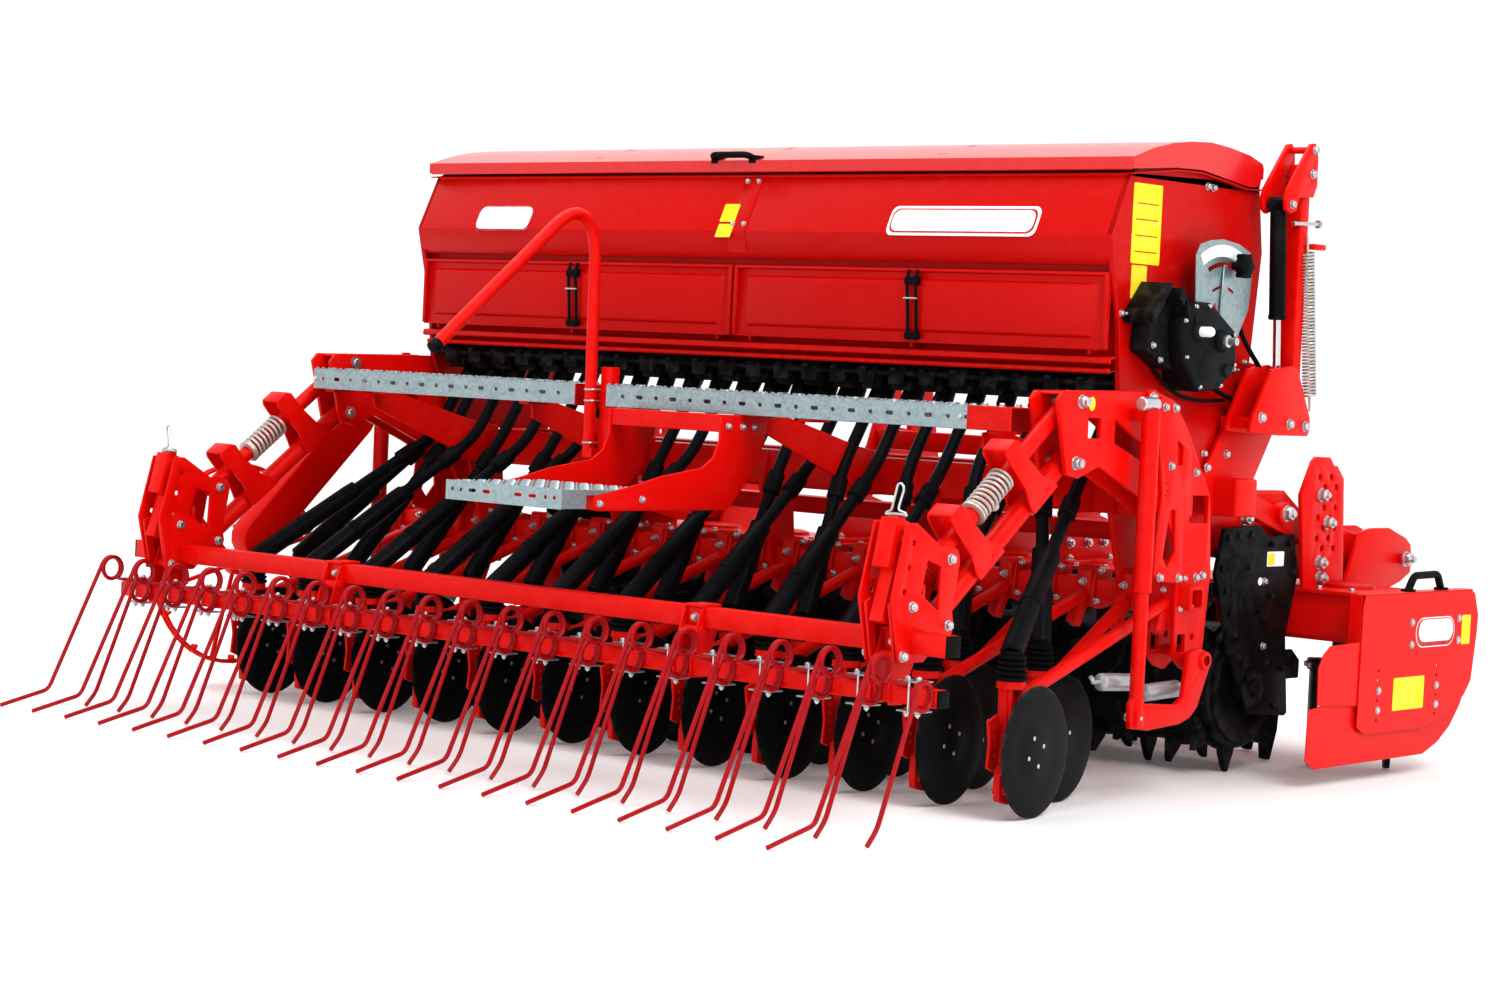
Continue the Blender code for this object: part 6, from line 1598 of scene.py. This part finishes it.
def make_rotors():
    """Ten rotors: a hub, a blade holder and two blades, each pair turned a quarter from its neighbours."""
    parts = [turned([(0, 0), (0, 0.044), (0.01, 0.05), (0.028, 0.052), (0.04, 0.06), (0.0697, 0.06),
                    (0.0697, 0)], (0, 0, 0.29), UP, DISC_BLACK, 28),
            box(-0.122, 0.122, -0.035, 0.035, 0.265, 0.3, DISC_BLACK, 0.006, 2)]
    blade = [(-0.032, 0.29), (0.032, 0.29), (0.031, 0.18), (0.026, 0.085), (0.01, 0.002), (0.0, 0.001),
            (-0.02, 0.004), (-0.03, 0.12)]
    for low, high in ((0.1, 0.114), (-0.114, -0.1)):
        parts.append(slab(blade, low, high, DISC_BLACK, soft=0.003, rounds=2))
    parts.append(bolts([(0.122, y, 0.282) for y in (-0.018, 0.018)], RIGHT, 0.016, 0.008))
    parts.append(bolts([(-0.122, y, 0.282) for y in (-0.018, 0.018)], LEFT, 0.016, 0.008))
    model = joined(parts)
    for index in range(ROTORS):
        name = "rotor_%02d" % (index + 1)
        turn = Matrix.Rotation(radians(45 if index % 2 else -45), 4, "Z")
        rotor = copied(model, move(rotor_x(index), 0.5, 0) @ turn)
        settled(rotor, "harrow_" + name, name, "satin_black", name)
    bpy.data.objects.remove(model, do_unlink=True)


# ---------------------------------------------------------------- marker rocker and cylinder

TOWER_MIDDLE = 1.326
CYLINDER_TOP = Vector((-0.055, 1.515))
CYLINDER_FOOT = Vector((-0.01, 0.945))


def make_marker():
    cheek = [(-0.08, 1.5), (-0.06, 1.49), (-0.032, 1.5), (-0.02, 1.535), (0.05, 1.54), (0.066, 1.57),
            (0.064, 1.64), (0.06, 1.665), (0.048, 1.681), (0.028, 1.678), (-0.075, 1.555), (-0.086, 1.525)]
    red, steel = [], []
    for low, high in ((1.285, 1.297), (1.355, 1.367)):
        red.append(red_plate(cheek, low, high, holes=[bored(0.04, 1.6, 0.0089, low, high)]))
    red.append(rod((1.297, 0.045, 1.663), (1.355, 0.045, 1.663), 0.009, RED, 16))
    settled(joined(red), "marker_rocker_cheeks", "marker_rocker", "machine_red", "marker_rocker")
    steel += [rod((1.284, *CYLINDER_TOP), (1.368, *CYLINDER_TOP), 0.008, BOLT, 16),
            bolts([(1.367, *CYLINDER_TOP), (1.367, 0.045, 1.663)], RIGHT, 0.018, 0.008),
            bolts([(1.285, *CYLINDER_TOP), (1.285, 0.045, 1.663)], LEFT, 0.018, 0.008)]
    settled(joined(steel), "marker_rocker_bolts", "marker_rocker", "bright_steel")

    down = (CYLINDER_FOOT - CYLINDER_TOP).normalized()
    top = Vector((TOWER_MIDDLE, *CYLINDER_TOP))
    way = Vector((0, *down))
    barrel = [turned([(0.012, 0), (0.012, 0.018), (0.018, 0.0215), (0.286, 0.0215), (0.288, 0.0235),
                    (0.298, 0.0235), (0.3, 0.02), (0.3, 0.012), (0.08, 0.012)], top, way, BLACK, 28),
            cut(rod((1.303, *CYLINDER_TOP), (1.349, *CYLINDER_TOP), 0.02, BLACK, 24),
                [bored(*CYLINDER_TOP, 0.0089, 1.303, 1.349)])]
    settled(joined(barrel), "cylinder_barrel_tube", "cylinder_barrel", "satin_black", "cylinder_barrel")
    start = top + way * 0.19
    foot = Vector((TOWER_MIDDLE, *CYLINDER_FOOT))
    shaft = [turned([(0, 0), (0, 0.0108), ((foot - start).length - 0.02, 0.0108),
                    ((foot - start).length - 0.02, 0)], start, way, CHROME, 24),
            cut(rod((1.303, *CYLINDER_FOOT), (1.349, *CYLINDER_FOOT), 0.026, BLACK, 24),
                [bored(*CYLINDER_FOOT, 0.017, 1.303, 1.349)])]
    settled(joined(shaft), "cylinder_rod_shaft", "cylinder_rod", "bright_steel", "cylinder_rod")


# ---------------------------------------------------------------- studio

def make_studio():
    scene = bpy.context.scene
    scene.view_settings.view_transform = "Standard"
    scene.view_settings.look = "Medium High Contrast"
    world = bpy.data.worlds.new("studio")
    scene.world = world
    world.use_nodes = True
    world.node_tree.nodes["Background"].inputs["Color"].default_value = (1, 1, 1, 1)
    world.node_tree.nodes["Background"].inputs["Strength"].default_value = 0.95

    deselect()
    bpy.ops.mesh.primitive_plane_add(size=160, location=(0, 0, -0.0005))
    floor = bpy.context.active_object
    floor.name = "studio_floor"
    pale, tree, shader, place = new_finish("pale_floor")
    cloud = added(tree, "ShaderNodeTexNoise",
            {"Vector": place.outputs["Object"], "Scale": 1.3, "Detail": 3.0})
    tone = added(tree, "ShaderNodeMapRange", {"Value": cloud.outputs["Fac"], "To Min": 0.93, "To Max": 0.95})
    tree.links.new(tone.outputs["Result"], shader.inputs["Base Color"])
    shader.inputs["Roughness"].default_value = 0.75
    floor.data.materials.append(pale)

    for name, place, aim, size, power in (("key", (6.0, -2.0, 5.5), (0.6, -0.2, 0.6), 3.0, 190),
            ("fill", (0.5, -8.0, 3.2), (0, -0.6, 0.7), 5.0, 90),
            ("top", (-1.0, 0.5, 6.5), (0, 0, 0.8), 4.0, 110)):
        lamp = bpy.data.lights.new(name, "AREA")
        lamp.size = size
        lamp.energy = power
        holder = bpy.data.objects.new(name, lamp)
        scene.collection.objects.link(holder)
        holder.location = place
        holder.rotation_euler = (Vector(aim) - Vector(place)).to_track_quat("-Z", "Y").to_euler()


def make_camera():
    yaw, pitch, roll = radians(40.973), radians(2.6314), radians(2.7032)
    ahead = Vector((-sin(yaw) * cos(pitch), cos(yaw) * cos(pitch), -sin(pitch)))
    right = Vector((cos(yaw), sin(yaw), 0))
    up = right.cross(ahead)
    right, up = right * cos(roll) + up * sin(roll), up * cos(roll) - right * sin(roll)
    camera = bpy.data.cameras.new("camera")
    camera.lens = 72.68
    camera.sensor_width = 36
    camera.clip_end = 300
    holder = bpy.data.objects.new("camera", camera)
    bpy.context.scene.collection.objects.link(holder)
    turn = Matrix((right, up, -ahead)).transposed().to_4x4()
    holder.matrix_world = shifted(Vector((5.5, -6.9, 1.0446)) + DATUM) @ turn
    bpy.context.scene.camera = holder


def main():
    for make in (make_hopper, make_lid, make_covers, make_metering_gearbox, make_metering_row, make_footboard,
            make_loading_step, make_handrail, make_drill_arms, make_marker_tower, make_coulters, make_discs,
            make_seed_tubes, make_links, make_tine_units, make_tine_carriers, make_ground_wheel,
            make_packer_roller, make_packer_frame, make_trough, make_hitch_frame, make_side_shields,
            make_rotors, make_marker):
        make()
    make_studio()
    make_camera()


main()
